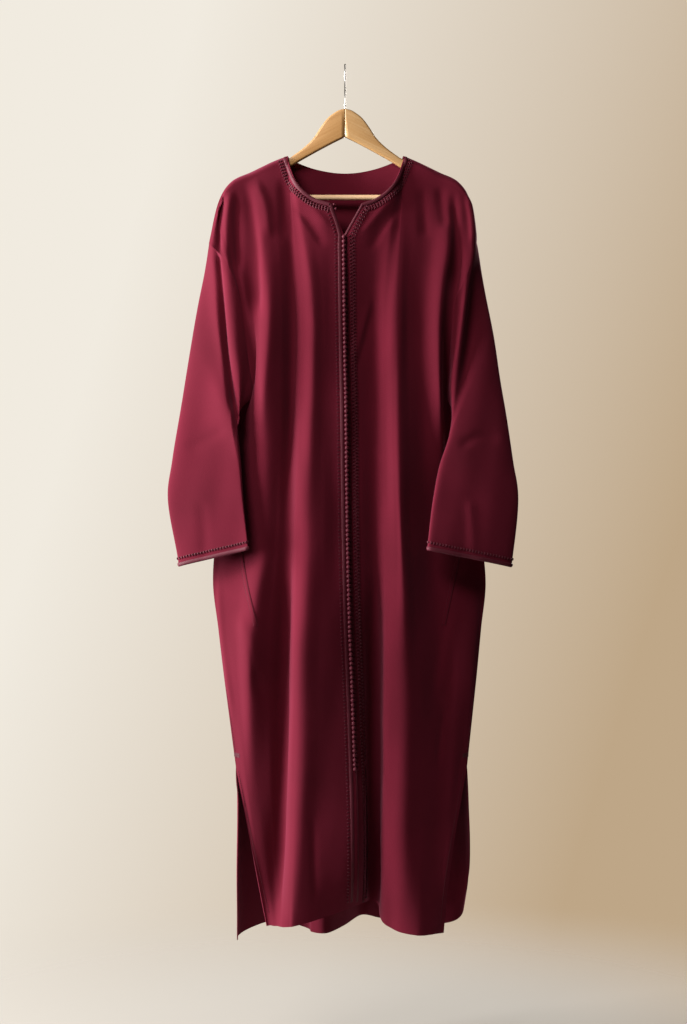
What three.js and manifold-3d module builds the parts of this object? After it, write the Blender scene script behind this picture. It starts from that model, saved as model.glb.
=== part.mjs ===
// A long, wide gandoura with dropped shoulders and long sleeves, on a wooden hanger with a wire hook.
// Millimetres, +Z up, the front of the garment faces -Y, "left" is the side at -X.
// The origin is the inside of the top of the hook's bend, where a rail carries the hanger.
import * as THREE from "three";
import { mergeVertices } from "three/addons/utils/BufferGeometryUtils.js";
import Module from "manifold-3d";

const CLOTH = 2; // thickness of the woollen cloth with its turned seams
const SEAM = 0.3; // gap between two sewn pieces
const BRAID = 1.6; // thickness of the braided trims
const BRAID_SINK = 1; // how far a trim reaches into a panel before the panel is cut out of it

// Heights of the named levels of the body, below the hook.
const LEVELS = {
  chest: -434, underarm: -620, gusset: -662, elbow: -769, cuff: -917, hip: -1066, vent: -1304, shin: -1475,
};

// Depths below the top edge of the first four rows of a panel, and how far the cloth stands
// from the hanger's middle plane at each of them where it rolls over the arm.
const ROLL = { below: [0, 3, 8, 17], out: [0.15, 5.4, 8.8, 9.6] };

// The shoulder line, shared by front and back, from the neck point to the top of the armhole seam: [x, z].
const SHOULDER_LEFT = [[-108, -168], [-136, -179], [-173, -197], [-212, -216], [-236, -255], [-253, -329]];
const SHOULDER_RIGHT = [[110, -168], [138, -180], [175, -198], [211, -216], [233, -252], [245, -329]];

// The armhole seam of one half, from the shoulder to the underarm: how far out it lies,
// how far it stands from the middle plane, and its height. The back follows the same line.
const ARMHOLE_LEFT = [
  [-253, 0, -329], [-251, 4, -332], [-247, 9, -337], [-238, 14, -346], [-220, 20, -367],
  [-205, 21, -400], [-194, 18, -440], [-185, 14, -500], [-178, 8, -560], [-171, 0, -616],
];
const ARMHOLE_RIGHT = [
  [245, 0, -329], [244.5, 4, -332], [243, 9, -337], [240, 14, -346], [234, 19, -367],
  [221, 22, -400], [204, 19, -440], [197, 15, -500], [193, 8, -560], [190, 0, -616],
];
const UNDERARM_ROW = ARMHOLE_LEFT.length - 1;
const SIDE_SPANS = 8; // rows from the underarm to the top of the vent
const VENT_SPANS = 4; // rows from there to the hem
const LINE_SPLIT = 2; // columns between two fold lines
const FRONT_NECK_LINES = 5; // the fold line of each front that starts at the neck point
const BAND_COLUMNS = [0, LINE_SPLIT + 1]; // each band beside the opening covers the first span
const BACK_NECK_LINES = [5, 11]; // the two of the back

// Fold lines of the body. Each row is the run of one crest, flank or valley from its top edge to the hem:
// [x, y] at each level, [x, y, z] at the top and the hem. A shoulder line starts on the shoulder table.
const OPENING = {
  top: [-2, -29, -319], chest: [-1, -27], underarm: [2, -24], elbow: [4, -29], cuff: [6, -30],
  hip: [10, -33], vent: [19, -34], shin: [22, -46], hem: [20, -20, -1558],
};
const FRONT_LEFT = [
  OPENING,
  { top: [-27, -33, -255], chest: [-25, -30], underarm: [-22, -26], elbow: [-20, -31], cuff: [-18, -34],
    hip: [-14, -42], vent: [-5, -38], shin: [-2, -56], hem: [-4, -46, -1562] },
  { top: [-58, -31, -249], chest: [-42, -35], underarm: [-42, -29], elbow: [-42, -33], cuff: [-42, -37],
    hip: [-44, -52], vent: [-48, -46], shin: [-52, -66], hem: [-52, -74, -1572] },
  { top: [-90, -25, -220], chest: [-61, -40], underarm: [-62, -35], elbow: [-63, -38], cuff: [-66, -40],
    hip: [-73, -59], vent: [-78, -53], shin: [-84, -73], hem: [-90, -88, -1580] },
  { top: [-107, -10, -178], chest: [-80, -30], underarm: [-82, -20], elbow: [-81, -22], cuff: [-84, -29],
    hip: [-90, -44], vent: [-94, -36], shin: [-99, -58], hem: [-102, -86, -1582] },
  { shoulder: 0, chest: [-98, -17], underarm: [-100, -5], elbow: [-97, -6], cuff: [-102, -17],
    hip: [-110, -21], vent: [-116, -14], shin: [-117, -32], hem: [-114, -78, -1584] },
  { shoulder: 1, chest: [-119, -29], underarm: [-121, -21], elbow: [-120, -21], cuff: [-128, -28],
    hip: [-140, -29], vent: [-140, -14], shin: [-130, -26], hem: [-124, -66, -1585] },
  { shoulder: 2, chest: [-138, -35], underarm: [-147, -35], elbow: [-148, -38], cuff: [-154, -39],
    hip: [-174, -42], vent: [-168, -17], shin: [-146, -30], hem: [-131, -57, -1586] },
  { shoulder: 3, chest: [-165, -26], underarm: [-162, -20], elbow: [-174, -4], cuff: [-188, 2],
    hip: [-201, -20], vent: [-184, -13], shin: [-158, -32], hem: [-137, -47, -1586] },
  { shoulder: 4, chest: [-184, -18], underarm: [-160, -4], gusset: [-190, 4], elbow: [-200, 14],
    cuff: [-228, 16], hip: [-223, -5], vent: [-195, -5], shin: [-164, -30], hem: [-141, -40, -1587] },
  { armhole: true, gusset: [-202, 20], elbow: [-212, 26], cuff: [-247, 22], hip: [-234, 7], vent: [-203, 0],
    shin: [-167, -24], hem: [-143, -34, -1587] },
];
const FRONT_RIGHT = [
  OPENING,
  { top: [32, -33, -256], chest: [23, -23], underarm: [26, -16], elbow: [28, -24], cuff: [30, -26],
    hip: [34, -24], vent: [41, -20], shin: [44, -18], hem: [40, 0, -1557] },
  { top: [60, -31, -249], chest: [57, -3], underarm: [56, 1], elbow: [50, -12], cuff: [56, -14],
    hip: [61, -6], vent: [64, -2], shin: [58, 8], hem: [54, 16, -1560] },
  { top: [91, -25, -220], chest: [78, -18], underarm: [77, -18], elbow: [78, -32], cuff: [82, -34],
    hip: [81, -27], vent: [77, -22], shin: [69, -26], hem: [68, -40, -1582] },
  { top: [109, -10, -178], chest: [90, -28], underarm: [88, -28], elbow: [90, -46], cuff: [96, -45],
    hip: [97, -38], vent: [94, -36], shin: [88, -48], hem: [84, -60, -1590] },
  { shoulder: 0, chest: [102, -33], underarm: [101, -35], elbow: [104, -52], cuff: [111, -49],
    hip: [113, -43], vent: [112, -43], shin: [108, -58], hem: [102, -74, -1595] },
  { shoulder: 1, chest: [120, -20], underarm: [123, -22], elbow: [125, -40], cuff: [128, -34],
    hip: [135, -31], vent: [138, -34], shin: [135, -50], hem: [132, -80, -1599] },
  { shoulder: 2, chest: [148, -8], underarm: [147, -10], elbow: [150, -20], cuff: [158, -12],
    hip: [174, -10], vent: [172, -19], shin: [160, -40], hem: [152, -72, -1600] },
  { shoulder: 3, chest: [172, -26], underarm: [171, -22], elbow: [181, 0], cuff: [198, 4],
    hip: [212, -9], vent: [200, -13], shin: [178, -34], hem: [166, -62, -1600] },
  { shoulder: 4, chest: [192, -20], underarm: [184, -8], elbow: [200, 16], cuff: [238, 18],
    hip: [240, -4], vent: [214, -6], shin: [188, -32], hem: [174, -54, -1601] },
  { armhole: true, gusset: [202, 18], elbow: [217, 28], cuff: [262, 24], hip: [252, 7], vent: [227, 0],
    shin: [195, -28], hem: [181, -50, -1601] },
];
const BACK = [
  { armhole: true, gusset: [-202, 20], elbow: [-212, 26], cuff: [-247, 22], hip: [-234, 7], vent: [-203, 0],
    shin: [-206, 6], hem: [-208, 20, -1629] },
  { shoulder: 4, chest: [-188, 20], underarm: [-164, 14], gusset: [-190, 34], elbow: [-200, 42],
    cuff: [-234, 38], hip: [-224, 26], vent: [-198, 20], shin: [-196, 30], hem: [-196, 42, -1622] },
  { shoulder: 3, chest: [-170, 26], underarm: [-163, 28], elbow: [-180, 44], cuff: [-208, 50],
    hip: [-200, 50], vent: [-182, 44], shin: [-176, 52], hem: [-172, 62, -1614] },
  { shoulder: 2, chest: [-148, 32], underarm: [-148, 40], elbow: [-152, 52], cuff: [-166, 60],
    hip: [-166, 66], vent: [-156, 66], shin: [-150, 74], hem: [-142, 84, -1610] },
  { shoulder: 1, chest: [-124, 24], underarm: [-124, 28], elbow: [-124, 36], cuff: [-130, 40],
    hip: [-130, 46], vent: [-122, 54], shin: [-114, 64], hem: [-106, 76, -1610] },
  { shoulder: 0, chest: [-94, 18], underarm: [-96, 20], elbow: [-92, 26], cuff: [-92, 30],
    hip: [-88, 32], vent: [-82, 32], shin: [-74, 30], hem: [-66, 32, -1613] },
  { top: [-104, 10, -172], chest: [-80, 22], underarm: [-82, 26], elbow: [-80, 34], cuff: [-78, 38],
    hip: [-76, 36], vent: [-70, 32], shin: [-62, 24], hem: [-56, 22, -1615] },
  { top: [-56, 20, -189], chest: [-52, 30], underarm: [-56, 38], elbow: [-54, 48], cuff: [-50, 52],
    hip: [-50, 44], vent: [-46, 30], shin: [-42, 16], hem: [-38, 6, -1616] },
  { top: [0, 25, -196], chest: [0, 22], underarm: [-2, 28], elbow: [-2, 34], cuff: [0, 44],
    hip: [0, 54], vent: [0, 60], shin: [0, 62], hem: [-4, 54, -1612] },
  { top: [56, 20, -189], chest: [52, 32], underarm: [54, 42], elbow: [56, 52], cuff: [54, 66],
    hip: [50, 80], vent: [44, 92], shin: [38, 102], hem: [30, 110, -1604] },
  { top: [106, 10, -172], chest: [80, 26], underarm: [82, 30], elbow: [84, 36], cuff: [82, 46],
    hip: [80, 58], vent: [76, 68], shin: [70, 80], hem: [64, 92, -1605] },
  { shoulder: 0, chest: [96, 20], underarm: [98, 22], elbow: [98, 26], cuff: [100, 36],
    hip: [100, 44], vent: [98, 54], shin: [94, 66], hem: [88, 78, -1606] },
  { shoulder: 1, chest: [126, 28], underarm: [128, 30], elbow: [132, 38], cuff: [138, 44],
    hip: [142, 46], vent: [140, 42], shin: [138, 44], hem: [134, 48, -1608] },
  { shoulder: 2, chest: [152, 34], underarm: [154, 42], elbow: [164, 54], cuff: [180, 62],
    hip: [186, 66], vent: [184, 62], shin: [184, 56], hem: [180, 50, -1607] },
  { shoulder: 3, chest: [176, 26], underarm: [176, 28], elbow: [190, 46], cuff: [218, 54],
    hip: [220, 50], vent: [208, 44], shin: [210, 46], hem: [206, 50, -1601] },
  { shoulder: 4, chest: [196, 20], underarm: [186, 16], elbow: [206, 38], cuff: [246, 40],
    hip: [244, 26], vent: [222, 22], shin: [226, 30], hem: [220, 58, -1590] },
  { armhole: true, gusset: [202, 18], elbow: [217, 28], cuff: [262, 24], hip: [252, 7], vent: [227, 0],
    shin: [234, 14], hem: [226, 70, -1572] },
];

// Sections of a sleeve below its armhole seam: the outer fold [x, z], the underarm edge [x, z],
// the middle of its depth, and half its depth. The last two are the cuff's trim line and edge.
const SLEEVE_LEFT = [
  { outer: [-267, -400], inner: [-194, -642], middle: -12, half: 23 },
  { outer: [-286, -508], inner: [-199, -686], middle: -16, half: 22 },
  { outer: [-305, -620], inner: [-194, -740], middle: -14, half: 24 },
  { outer: [-322, -732], inner: [-189, -796], middle: -21, half: 23 },
  { outer: [-331, -806], inner: [-184, -842], middle: -26, half: 21 },
  { outer: [-312, -916], inner: [-179, -885], middle: -32, half: 20 },
  { outer: [-309, -930], inner: [-178, -899], middle: -33, half: 20 },
];
const SLEEVE_RIGHT = [
  { outer: [258, -400], inner: [198, -640], middle: -6, half: 25 },
  { outer: [277, -508], inner: [192, -690], middle: -16, half: 23 },
  { outer: [294, -620], inner: [174, -745], middle: -24, half: 24 },
  { outer: [311, -732], inner: [164, -796], middle: -33, half: 22 },
  { outer: [320, -806], inner: [157, -842], middle: -39, half: 20 },
  { outer: [309, -916], inner: [152, -885], middle: -45, half: 19 },
  { outer: [306, -930], inner: [151, -899], middle: -46, half: 19 },
];
const ARMHOLE_TURN = { top: 4, bottom: 6 }; // rows of the armhole where its rim stops and starts to turn
const STEEP_ROLL = 0.7; // share of the roll that is left where the shoulder turns down to the armhole
// Where the rings of a sleeve lie between its sections.
const SLEEVE_STEPS = [0, 0.35, 0.8, 1.4, 2, 2.7, 3.4, 4.2, 5, 5.5, 6, 7];

const NECK_CENTRE = -150; // a height inside the neck opening
const NECK_TURN = 12; // near the neck points the braid turns onto the shoulder without further stations
const BRAID_INSET = 0.8; // a trim's edge behind the cloth's edge
const BRAID_DROP = 1.2; // how far its ends stay below the shoulder seam and above the hem
const NECK_BRAID_WIDTH = 17; // rolled edge and chain stitch round the neck and down the slit
const BUTTON_PITCH = 8.45;
const BUTTON_COUNT = 117;
const BUTTON_RADIUS = 3.3;
const BUTTON_WAIST = 0.9; // radius of the loop cord between two knots
const BUTTON_SIDES = 5;

// Two spare knots that hang on the left edge of the slit, at these heights.
const LOOSE_KNOT = { radius: 2.6, gap: 1.3, upper: -263, lower: -271 };
// The turned edges of the slanted pockets: [x, z] along the mouth, from the top.
const WELT = { width: 8, thickness: 1.2 };
const POCKET_LEFT = [[-190, -905], [-186, -930], [-179, -965], [-170, -1002], [-160, -1040]];
const POCKET_RIGHT = [[208, -905], [203, -930], [195, -965], [187, -1002], [179, -1040]];

const WOOD_THICKNESS = 12;
const WOOD_ROUND = 3.5; // rounded edges of the wood
const BAR = { radius: 5, z: -245, reach: 207, sides: 12 };
// The hook's wire radius, the radius of its bend, and its stem as [y, z]; the bend runs between two angles.
const HOOK = {
  wire: 1.5, bend: 21.5, foot: -112, from: -10, to: 212, stride: 18.5, sides: 8, steps: 40,
  stem: [[0, -112], [0, -90], [0, -68], [3, -55], [11, -43], [18.2, -31.5]],
};
const FIT = 0.3; // clearance round the bar and the hook in the wood
// The wood's outline on the right, along the top from the middle to the tip, then back below: [x, z].
const WOOD_TOP = [
  [0, -80.5], [10, -82.5], [20, -88], [33, -98.6], [46, -116], [58.4, -135], [75.5, -152], [97, -168],
  [112, -176.5], [200, -217.5], [211, -223], [217, -231], [218, -241],
];
const WOOD_BELOW = [
  [216, -250], [210, -254.5], [203, -253], [198, -246], [190, -233], [112, -194], [86, -178.5], [54, -160.5],
  [25, -145], [0, -132.6],
];

const wasm = await Module();
wasm.setup();

const vec = (x, y, z) => new THREE.Vector3(x, y, z);

// A smooth value at t through values placed at rising stations.
function smoothAt(stations, values, t) {
  const last = stations.length - 1;
  let i = 0;
  while (i < last - 1 && t > stations[i + 1]) i += 1;
  const slope = (k) => {
    const a = Math.max(0, k - 1);
    const b = Math.min(last, k + 1);
    return (values[b] - values[a]) / (stations[b] - stations[a]);
  };
  const width = stations[i + 1] - stations[i];
  const u = Math.min(1, Math.max(0, (t - stations[i]) / width));
  return values[i] * (1 + 2 * u) * (1 - u) ** 2 + values[i + 1] * u * u * (3 - 2 * u)
    + width * (slope(i) * u * (1 - u) ** 2 - slope(i + 1) * u * u * (1 - u));
}

// Heights of the rows on a side seam, from the top of the armhole seam to a hem at the given height.
function sideHeights(hem) {
  const heights = ARMHOLE_LEFT.map((row) => row[2]);
  const underarm = heights[UNDERARM_ROW];
  for (let i = 1; i <= SIDE_SPANS; i++) heights.push(underarm + ((LEVELS.vent - underarm) * i) / SIDE_SPANS);
  for (let i = 1; i <= VENT_SPANS; i++) heights.push(LEVELS.vent + ((hem - LEVELS.vent) * i) / VENT_SPANS);
  return heights;
}

// The points of one fold line, a point for each row. facing is -1 on the front and 1 on the back.
function linePoints(line, facing) {
  const side = line.side < 0 ? ARMHOLE_LEFT : ARMHOLE_RIGHT;
  const [hemX, hemY, hemZ] = line.hem;
  const rowHeights = sideHeights(hemZ);
  const names = Object.keys(LEVELS).filter((name) => line[name]);
  const rolled = ROLL.below.length - 1;
  const standAt = (row) => (line.shoulder === undefined ? line.top[1] : facing * ROLL.out[row]);
  const head = line.armhole
    ? { x: side[UNDERARM_ROW][0], y: 0, z: side[UNDERARM_ROW][2] }
    : { x: line.top[0], y: standAt(rolled), z: line.top[2] - ROLL.below[rolled] };
  const spots = [
    [head.x, head.y, head.z],
    ...names.map((name) => [...line[name], LEVELS[name]]),
    [hemX, hemY, hemZ],
  ];
  // The side seam ends at the vent, where front and back part.
  const ventAt = names.indexOf("vent") + 1;
  const above = line.armhole ? spots.slice(0, ventAt + 1) : spots;
  const below = line.armhole ? spots.slice(ventAt) : spots;
  const along = (run, axis, z) => smoothAt(run.map((spot) => -spot[2]), run.map((spot) => spot[axis]), -z);
  return rowHeights.map((height, row) => {
    if (line.armhole && row <= UNDERARM_ROW) {
      const [x, out, z] = side[row];
      const apart = row === 0 || row === UNDERARM_ROW ? SEAM / 2 : out;
      return vec(x, facing * apart, z);
    }
    if (!line.armhole && row <= rolled) return vec(line.top[0], standAt(row), line.top[2] - ROLL.below[row]);
    const from = line.armhole ? head.z : rowHeights[rolled];
    const z = head.z + ((hemZ - head.z) * (height - from)) / (hemZ - from);
    const run = z >= LEVELS.vent ? above : below;
    const shift = line.armhole && z >= LEVELS.vent ? (facing * SEAM) / 2 : 0;
    return vec(along(run, 0, z), along(run, 1, z) + shift, z);
  });
}

// A panel's grid of points: grid[row][column], with columns between the fold lines.
function panelGrid(lines, facing) {
  const runs = lines.map((line) => linePoints(line, facing));
  const order = runs.map((run, i) => i);
  const grid = runs[0].map((first, row) => {
    const across = [];
    for (let i = 0; i <= (runs.length - 1) * LINE_SPLIT; i++) {
      const at = (axis) => smoothAt(order, runs.map((run) => run[row][axis]), i / LINE_SPLIT);
      across.push(vec(at("x"), at("y"), at("z")));
    }
    return across;
  });
  // Front and back share the points of the shoulder seam, so its run is worked out from its own table alone.
  lines.forEach((line, i) => {
    const next = lines[i + 1];
    if (!next || !line.table || !next.table || line.table !== next.table) return;
    const places = line.table.map((point, k) => k);
    const steep = next.order === line.table.length - 1;
    for (let part = 1; part < LINE_SPLIT; part++) {
      const along = line.order + ((next.order - line.order) * part) / LINE_SPLIT;
      const x = smoothAt(places, line.table.map((point) => point[0]), along);
      const z = smoothAt(places, line.table.map((point) => point[1]), along);
      ROLL.below.forEach((below, row) => {
        const out = ROLL.out[row] * (row && steep ? STEEP_ROLL : 1);
        grid[row][i * LINE_SPLIT + part] = vec(x, facing * out, z - below);
      });
    }
  });
  return grid;
}

// Gives each line its side, and a shoulder line its top point.
function withShoulders(lines) {
  return lines.map((line, i) => {
    const side = line.hem[0] + (line.vent[0] || 0) < 0 ? -1 : 1;
    const table = side < 0 ? SHOULDER_LEFT : SHOULDER_RIGHT;
    if (line.armhole) return { ...line, side, table, order: table.length - 1 };
    if (line.shoulder === undefined) return { ...line, side };
    const [x, z] = table[line.shoulder];
    return { ...line, side, table, order: line.shoulder, top: [x, 0, z] };
  });
}

// Unit vectors from the outer face of a panel or tube to its inner face.
function inwardOf(grid, closed, sign) {
  const rows = grid.length;
  const columns = grid[0].length;
  return grid.map((across, r) => across.map((point, c) => {
    const next = closed ? (c + 1) % columns : Math.min(columns - 1, c + 1);
    const before = closed ? (c + columns - 1) % columns : Math.max(0, c - 1);
    const alongRow = vec(0, 0, 0).subVectors(across[next], across[before]);
    const [above, below] = [grid[Math.max(0, r - 1)][c], grid[Math.min(rows - 1, r + 1)][c]];
    const down = vec(0, 0, 0).subVectors(below, above);
    return alongRow.cross(down).normalize().multiplyScalar(sign);
  }));
}

// A closed wall between two grids of the same size.
function wallBetween(outer, inner, closed) {
  const rows = outer.length;
  const columns = outer[0].length;
  const positions = [...outer, ...inner].flat().flatMap((p) => [p.x, p.y, p.z]);
  const index = [];
  const at = (layer, r, c) => (layer * rows + r) * columns + (c % columns);
  const quad = (a, b, c, d) => index.push(a, b, c, a, c, d);
  const spans = closed ? columns : columns - 1;
  for (let c = 0; c < spans; c++) {
    for (let r = 0; r < rows - 1; r++) {
      quad(at(0, r, c), at(0, r + 1, c), at(0, r + 1, c + 1), at(0, r, c + 1));
      const [a, b, d, e] = [at(1, r, c), at(1, r + 1, c), at(1, r + 1, c + 1), at(1, r, c + 1)];
      index.push(a, d, b, a, e, d);
    }
    quad(at(0, 0, c), at(0, 0, c + 1), at(1, 0, c + 1), at(1, 0, c));
    quad(at(0, rows - 1, c + 1), at(0, rows - 1, c), at(1, rows - 1, c), at(1, rows - 1, c + 1));
  }
  for (let r = 0; r < rows - 1 && !closed; r++) {
    const end = columns - 1;
    quad(at(0, r + 1, 0), at(0, r, 0), at(1, r, 0), at(1, r + 1, 0));
    quad(at(0, r, end), at(0, r + 1, end), at(1, r + 1, end), at(1, r, end));
  }
  const geometry = new THREE.BufferGeometry();
  geometry.setAttribute("position", new THREE.Float32BufferAttribute(positions, 3));
  geometry.setIndex(index);
  return facingOut(geometry);
}

// Turns the faces round where they point into the solid.
function facingOut(geometry) {
  const { array } = geometry.attributes.position;
  const index = geometry.index.array;
  const corner = (i) => vec(array[3 * index[i]], array[3 * index[i] + 1], array[3 * index[i] + 2]);
  let volume = 0;
  for (let i = 0; i < index.length; i += 3) volume += corner(i).dot(corner(i + 1).cross(corner(i + 2)));
  if (volume < 0) {
    for (let i = 0; i < index.length; i += 3) {
      [index[i + 1], index[i + 2]] = [index[i + 2], index[i + 1]];
    }
  }
  return geometry;
}

// Moves each point of a grid along its unit vector.
const moved = (grid, along, distance) =>
  grid.map((across, r) => across.map((p, c) => p.clone().addScaledVector(along[r][c], distance)));

// The rim of the armhole faces down at the shoulder, across the body below it, and inwards at the underarm.
function armholeInward(row, side, facing) {
  const top = Math.max(0, 1 - row / ARMHOLE_TURN.top);
  const bottom = Math.max(0, (row - ARMHOLE_TURN.bottom) / (UNDERARM_ROW - ARMHOLE_TURN.bottom));
  return vec(-side * bottom, -facing * (1 - top - bottom), -top).normalize();
}

// A body panel's wall. Its rims at the opening, shoulders and sides are square to those seams.
function panel(lines, facing) {
  const full = withShoulders(lines);
  const grid = panelGrid(full, facing);
  const hint = inwardOf(grid, false, 1);
  const middle = hint[grid.length >> 1][grid[0].length >> 1];
  const sign = middle.y * -facing > 0 ? 1 : -1;
  const inward = inwardOf(grid, false, sign);
  const columnOf = (i) => i * LINE_SPLIT;
  full.forEach((line, i) => {
    if (line === full[0] && !line.armhole) {
      grid.forEach((across, r) => {
        across[0].x += (SEAM / 2) * Math.sign(full[1].top[0]);
        inward[r][0] = vec(0, -facing, 0);
      });
    }
    if (line.armhole) {
      grid.forEach((across, r) => {
        const c = columnOf(i);
        inward[r][c] = r < UNDERARM_ROW ? armholeInward(r, line.side, facing) : vec(-line.side, 0, 0);
      });
    }
    const next = full[i + 1];
    if (next && line.table && line.table === next.table) {
      for (let c = columnOf(i); c <= columnOf(i + 1); c++) inward[0][c] = vec(0, 0, -1);
    }
  });
  const inner = moved(grid, inward, CLOTH);
  const geometry = wallBetween(grid, inner, false);
  return {
    grid,
    inward,
    geometry,
    cloth: solid(geometry),
    swollen: solid(wallBetween(moved(grid, inward, -SEAM), inner, false)),
  };
}

// A band made from the panel's own points between two columns, moved out.
function bandOn({ grid, inward }, columns) {
  const points = grid.map((across) => across.slice(...columns));
  const ways = inward.map((across) => across.slice(...columns));
  return wallBetween(moved(points, ways, -SEAM - BRAID), moved(points, ways, -SEAM), false);
}

// A sleeve: its first ring follows the armhole seam, and the others are flattened rounds between
// the outer fold and the underarm edge.
function sleeve(sections, armhole, side) {
  const half = UNDERARM_ROW;
  const around = 2 * half;
  const ring = [];
  const ringInward = [];
  for (let j = 0; j < around; j++) {
    const row = j <= half ? j : around - j;
    const facing = j <= half ? -1 : 1;
    const point = (k) => vec(armhole[k][0], facing * armhole[k][1], armhole[k][2]);
    const atEnd = row === 0 || row === half;
    const tangent = atEnd ? vec(0, facing, 0) : vec(0, 0, 0).subVectors(point(row + 1), point(row - 1));
    const inward = armholeInward(row, side, atEnd ? 0 : facing);
    const away = tangent.cross(inward).normalize();
    if (away.x * side - away.z < 0) away.negate();
    ring.push(point(row).addScaledVector(away, SEAM));
    ringInward.push(inward);
  }
  const sectionRing = (section) => ring.map((point, j) => {
    const angle = (Math.PI * j) / half;
    const [outerX, outerZ] = section.outer;
    const [innerX, innerZ] = section.inner;
    const towards = (1 + Math.cos(angle)) / 2;
    return vec(
      innerX + (outerX - innerX) * towards,
      section.middle - section.half * Math.sin(angle),
      innerZ + (outerZ - innerZ) * towards,
    );
  });
  const rings = [ring, ...sections.map(sectionRing)];
  const places = rings.map((points, i) => i);
  const grid = SLEEVE_STEPS.map((step) => ring.map((point, j) => {
    const at = (axis) => smoothAt(places, rings.map((points) => points[j][axis]), step);
    return vec(at("x"), at("y"), at("z"));
  }));
  grid[0] = ring;
  const onFold = inwardOf(grid, true, 1)[grid.length >> 1][0];
  const inward = inwardOf(grid, true, onFold.x * side < 0 ? 1 : -1);
  inward[0] = ringInward;
  const last = grid.length - 1;
  const cuff = [last - 1, last];
  const cuffGrid = cuff.map((r) => grid[r]);
  const cuffInward = cuff.map((r) => inward[r]);
  return {
    geometry: wallBetween(grid, moved(grid, inward, CLOTH), true),
    trim: wallBetween(moved(cuffGrid, cuffInward, -SEAM - BRAID), moved(cuffGrid, cuffInward, -SEAM), true),
  };
}

// The point of a panel's outer face at x and z, and the direction out of it there.
function onPanel({ grid, inward }, x, z) {
  let best = { inside: -Infinity };
  for (let r = 0; r < grid.length - 1; r++) {
    for (let c = 0; c < grid[0].length - 1; c++) {
      const corners = [[r, c], [r + 1, c], [r + 1, c + 1], [r, c + 1]];
      for (const pick of [[0, 1, 2], [0, 2, 3]]) {
        const [a, b, d] = pick.map((k) => grid[corners[k][0]][corners[k][1]]);
        const area = (b.x - a.x) * (d.z - a.z) - (d.x - a.x) * (b.z - a.z);
        const v = ((x - a.x) * (d.z - a.z) - (d.x - a.x) * (z - a.z)) / area;
        const w = ((b.x - a.x) * (z - a.z) - (x - a.x) * (b.z - a.z)) / area;
        const inside = Math.min(1 - v - w, v, w) * Math.sqrt(Math.abs(area));
        if (inside > best.inside) {
          const y = a.y + v * (b.y - a.y) + w * (d.y - a.y);
          const out = b.clone().sub(a).cross(d.clone().sub(a)).normalize();
          if (out.dot(inward[r][c]) > 0) out.negate();
          best = { inside, point: vec(x, y, z), out };
        }
      }
    }
  }
  return best;
}

// A strip that lies on a panel, split across in parts. Stations give its two edges as pairs of [x, z].
// It starts inside the cloth, and the cloth is then cut out of it with the gap of a seam.
function strip(base, stations, parts, thickness) {
  const spots = stations.map(([from, to]) => {
    const across = [];
    for (let i = 0; i <= parts; i++) {
      const share = i / parts;
      const [x, z] = [0, 1].map((axis) => from[axis] + (to[axis] - from[axis]) * share);
      across.push(onPanel(base, x, z));
    }
    return across;
  });
  const points = spots.map((across) => across.map((spot) => spot.point));
  const outs = spots.map((across) => across.map((spot) => spot.out));
  const upper = moved(points, outs, SEAM + thickness);
  const whole = solid(wallBetween(upper, moved(points, outs, -BRAID_SINK), false));
  const bodies = whole.subtract(base.swollen).subtract(base.cloth).decompose();
  return geometryOf(bodies.reduce((most, body) => (body.volume() > most.volume() ? body : most)));
}

// Stations of the braid along a neckline edge. first and last are the way across it at its two ends.
function neckStations(points, first, last) {
  const ends = [points[0], points[points.length - 1]];
  const edge = points.filter((p) => ends.every((end) => end === p || end.distanceTo(p) > NECK_TURN));
  return edge.map((p, i) => {
    const before = edge[Math.max(0, i - 1)];
    const after = edge[Math.min(edge.length - 1, i + 1)];
    let out = [after.z - before.z, before.x - after.x];
    if (out[0] * p.x + out[1] * (p.z - NECK_CENTRE) < 0) out = [-out[0], -out[1]];
    if (i === 0) out = first;
    if (i === edge.length - 1) out = last;
    const length = Math.hypot(...out);
    const [outX, outZ] = out.map((part) => part / length);
    const at = (distance) => [p.x + outX * distance, p.z - BRAID_DROP + outZ * distance];
    return [at(BRAID_INSET), at(NECK_BRAID_WIDTH)];
  });
}

// Where the opening's edge lies at a height, between the rows of the panel.
function openingAt({ grid }, z) {
  let r = 0;
  while (r < grid.length - 2 && grid[r + 1][0].z > z) r += 1;
  const [upper, lower] = [grid[r][0], grid[r + 1][0]];
  return upper.clone().lerp(lower, (z - upper.z) / (lower.z - upper.z));
}

// The row of knots on their loop cord: one closed body of small double cones.
function buttonRow() {
  const rings = [];
  const stand = 2 * SEAM + BRAID + BUTTON_RADIUS;
  for (let i = 0; i <= 2 * BUTTON_COUNT; i++) {
    const z = OPENING.top[2] - BUTTON_RADIUS - (i * BUTTON_PITCH) / 2;
    const centre = openingAt(frontLeft, z).add(openingAt(frontRight, z)).multiplyScalar(0.5);
    const radius = i % 2 ? BUTTON_RADIUS : BUTTON_WAIST;
    const ring = [];
    for (let k = 0; k < BUTTON_SIDES; k++) {
      const angle = (2 * Math.PI * (k + 0.25)) / BUTTON_SIDES;
      ring.push(vec(centre.x + radius * Math.cos(angle), centre.y - stand + radius * Math.sin(angle), z));
    }
    rings.push(ring);
  }
  return rod(rings);
}

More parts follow.
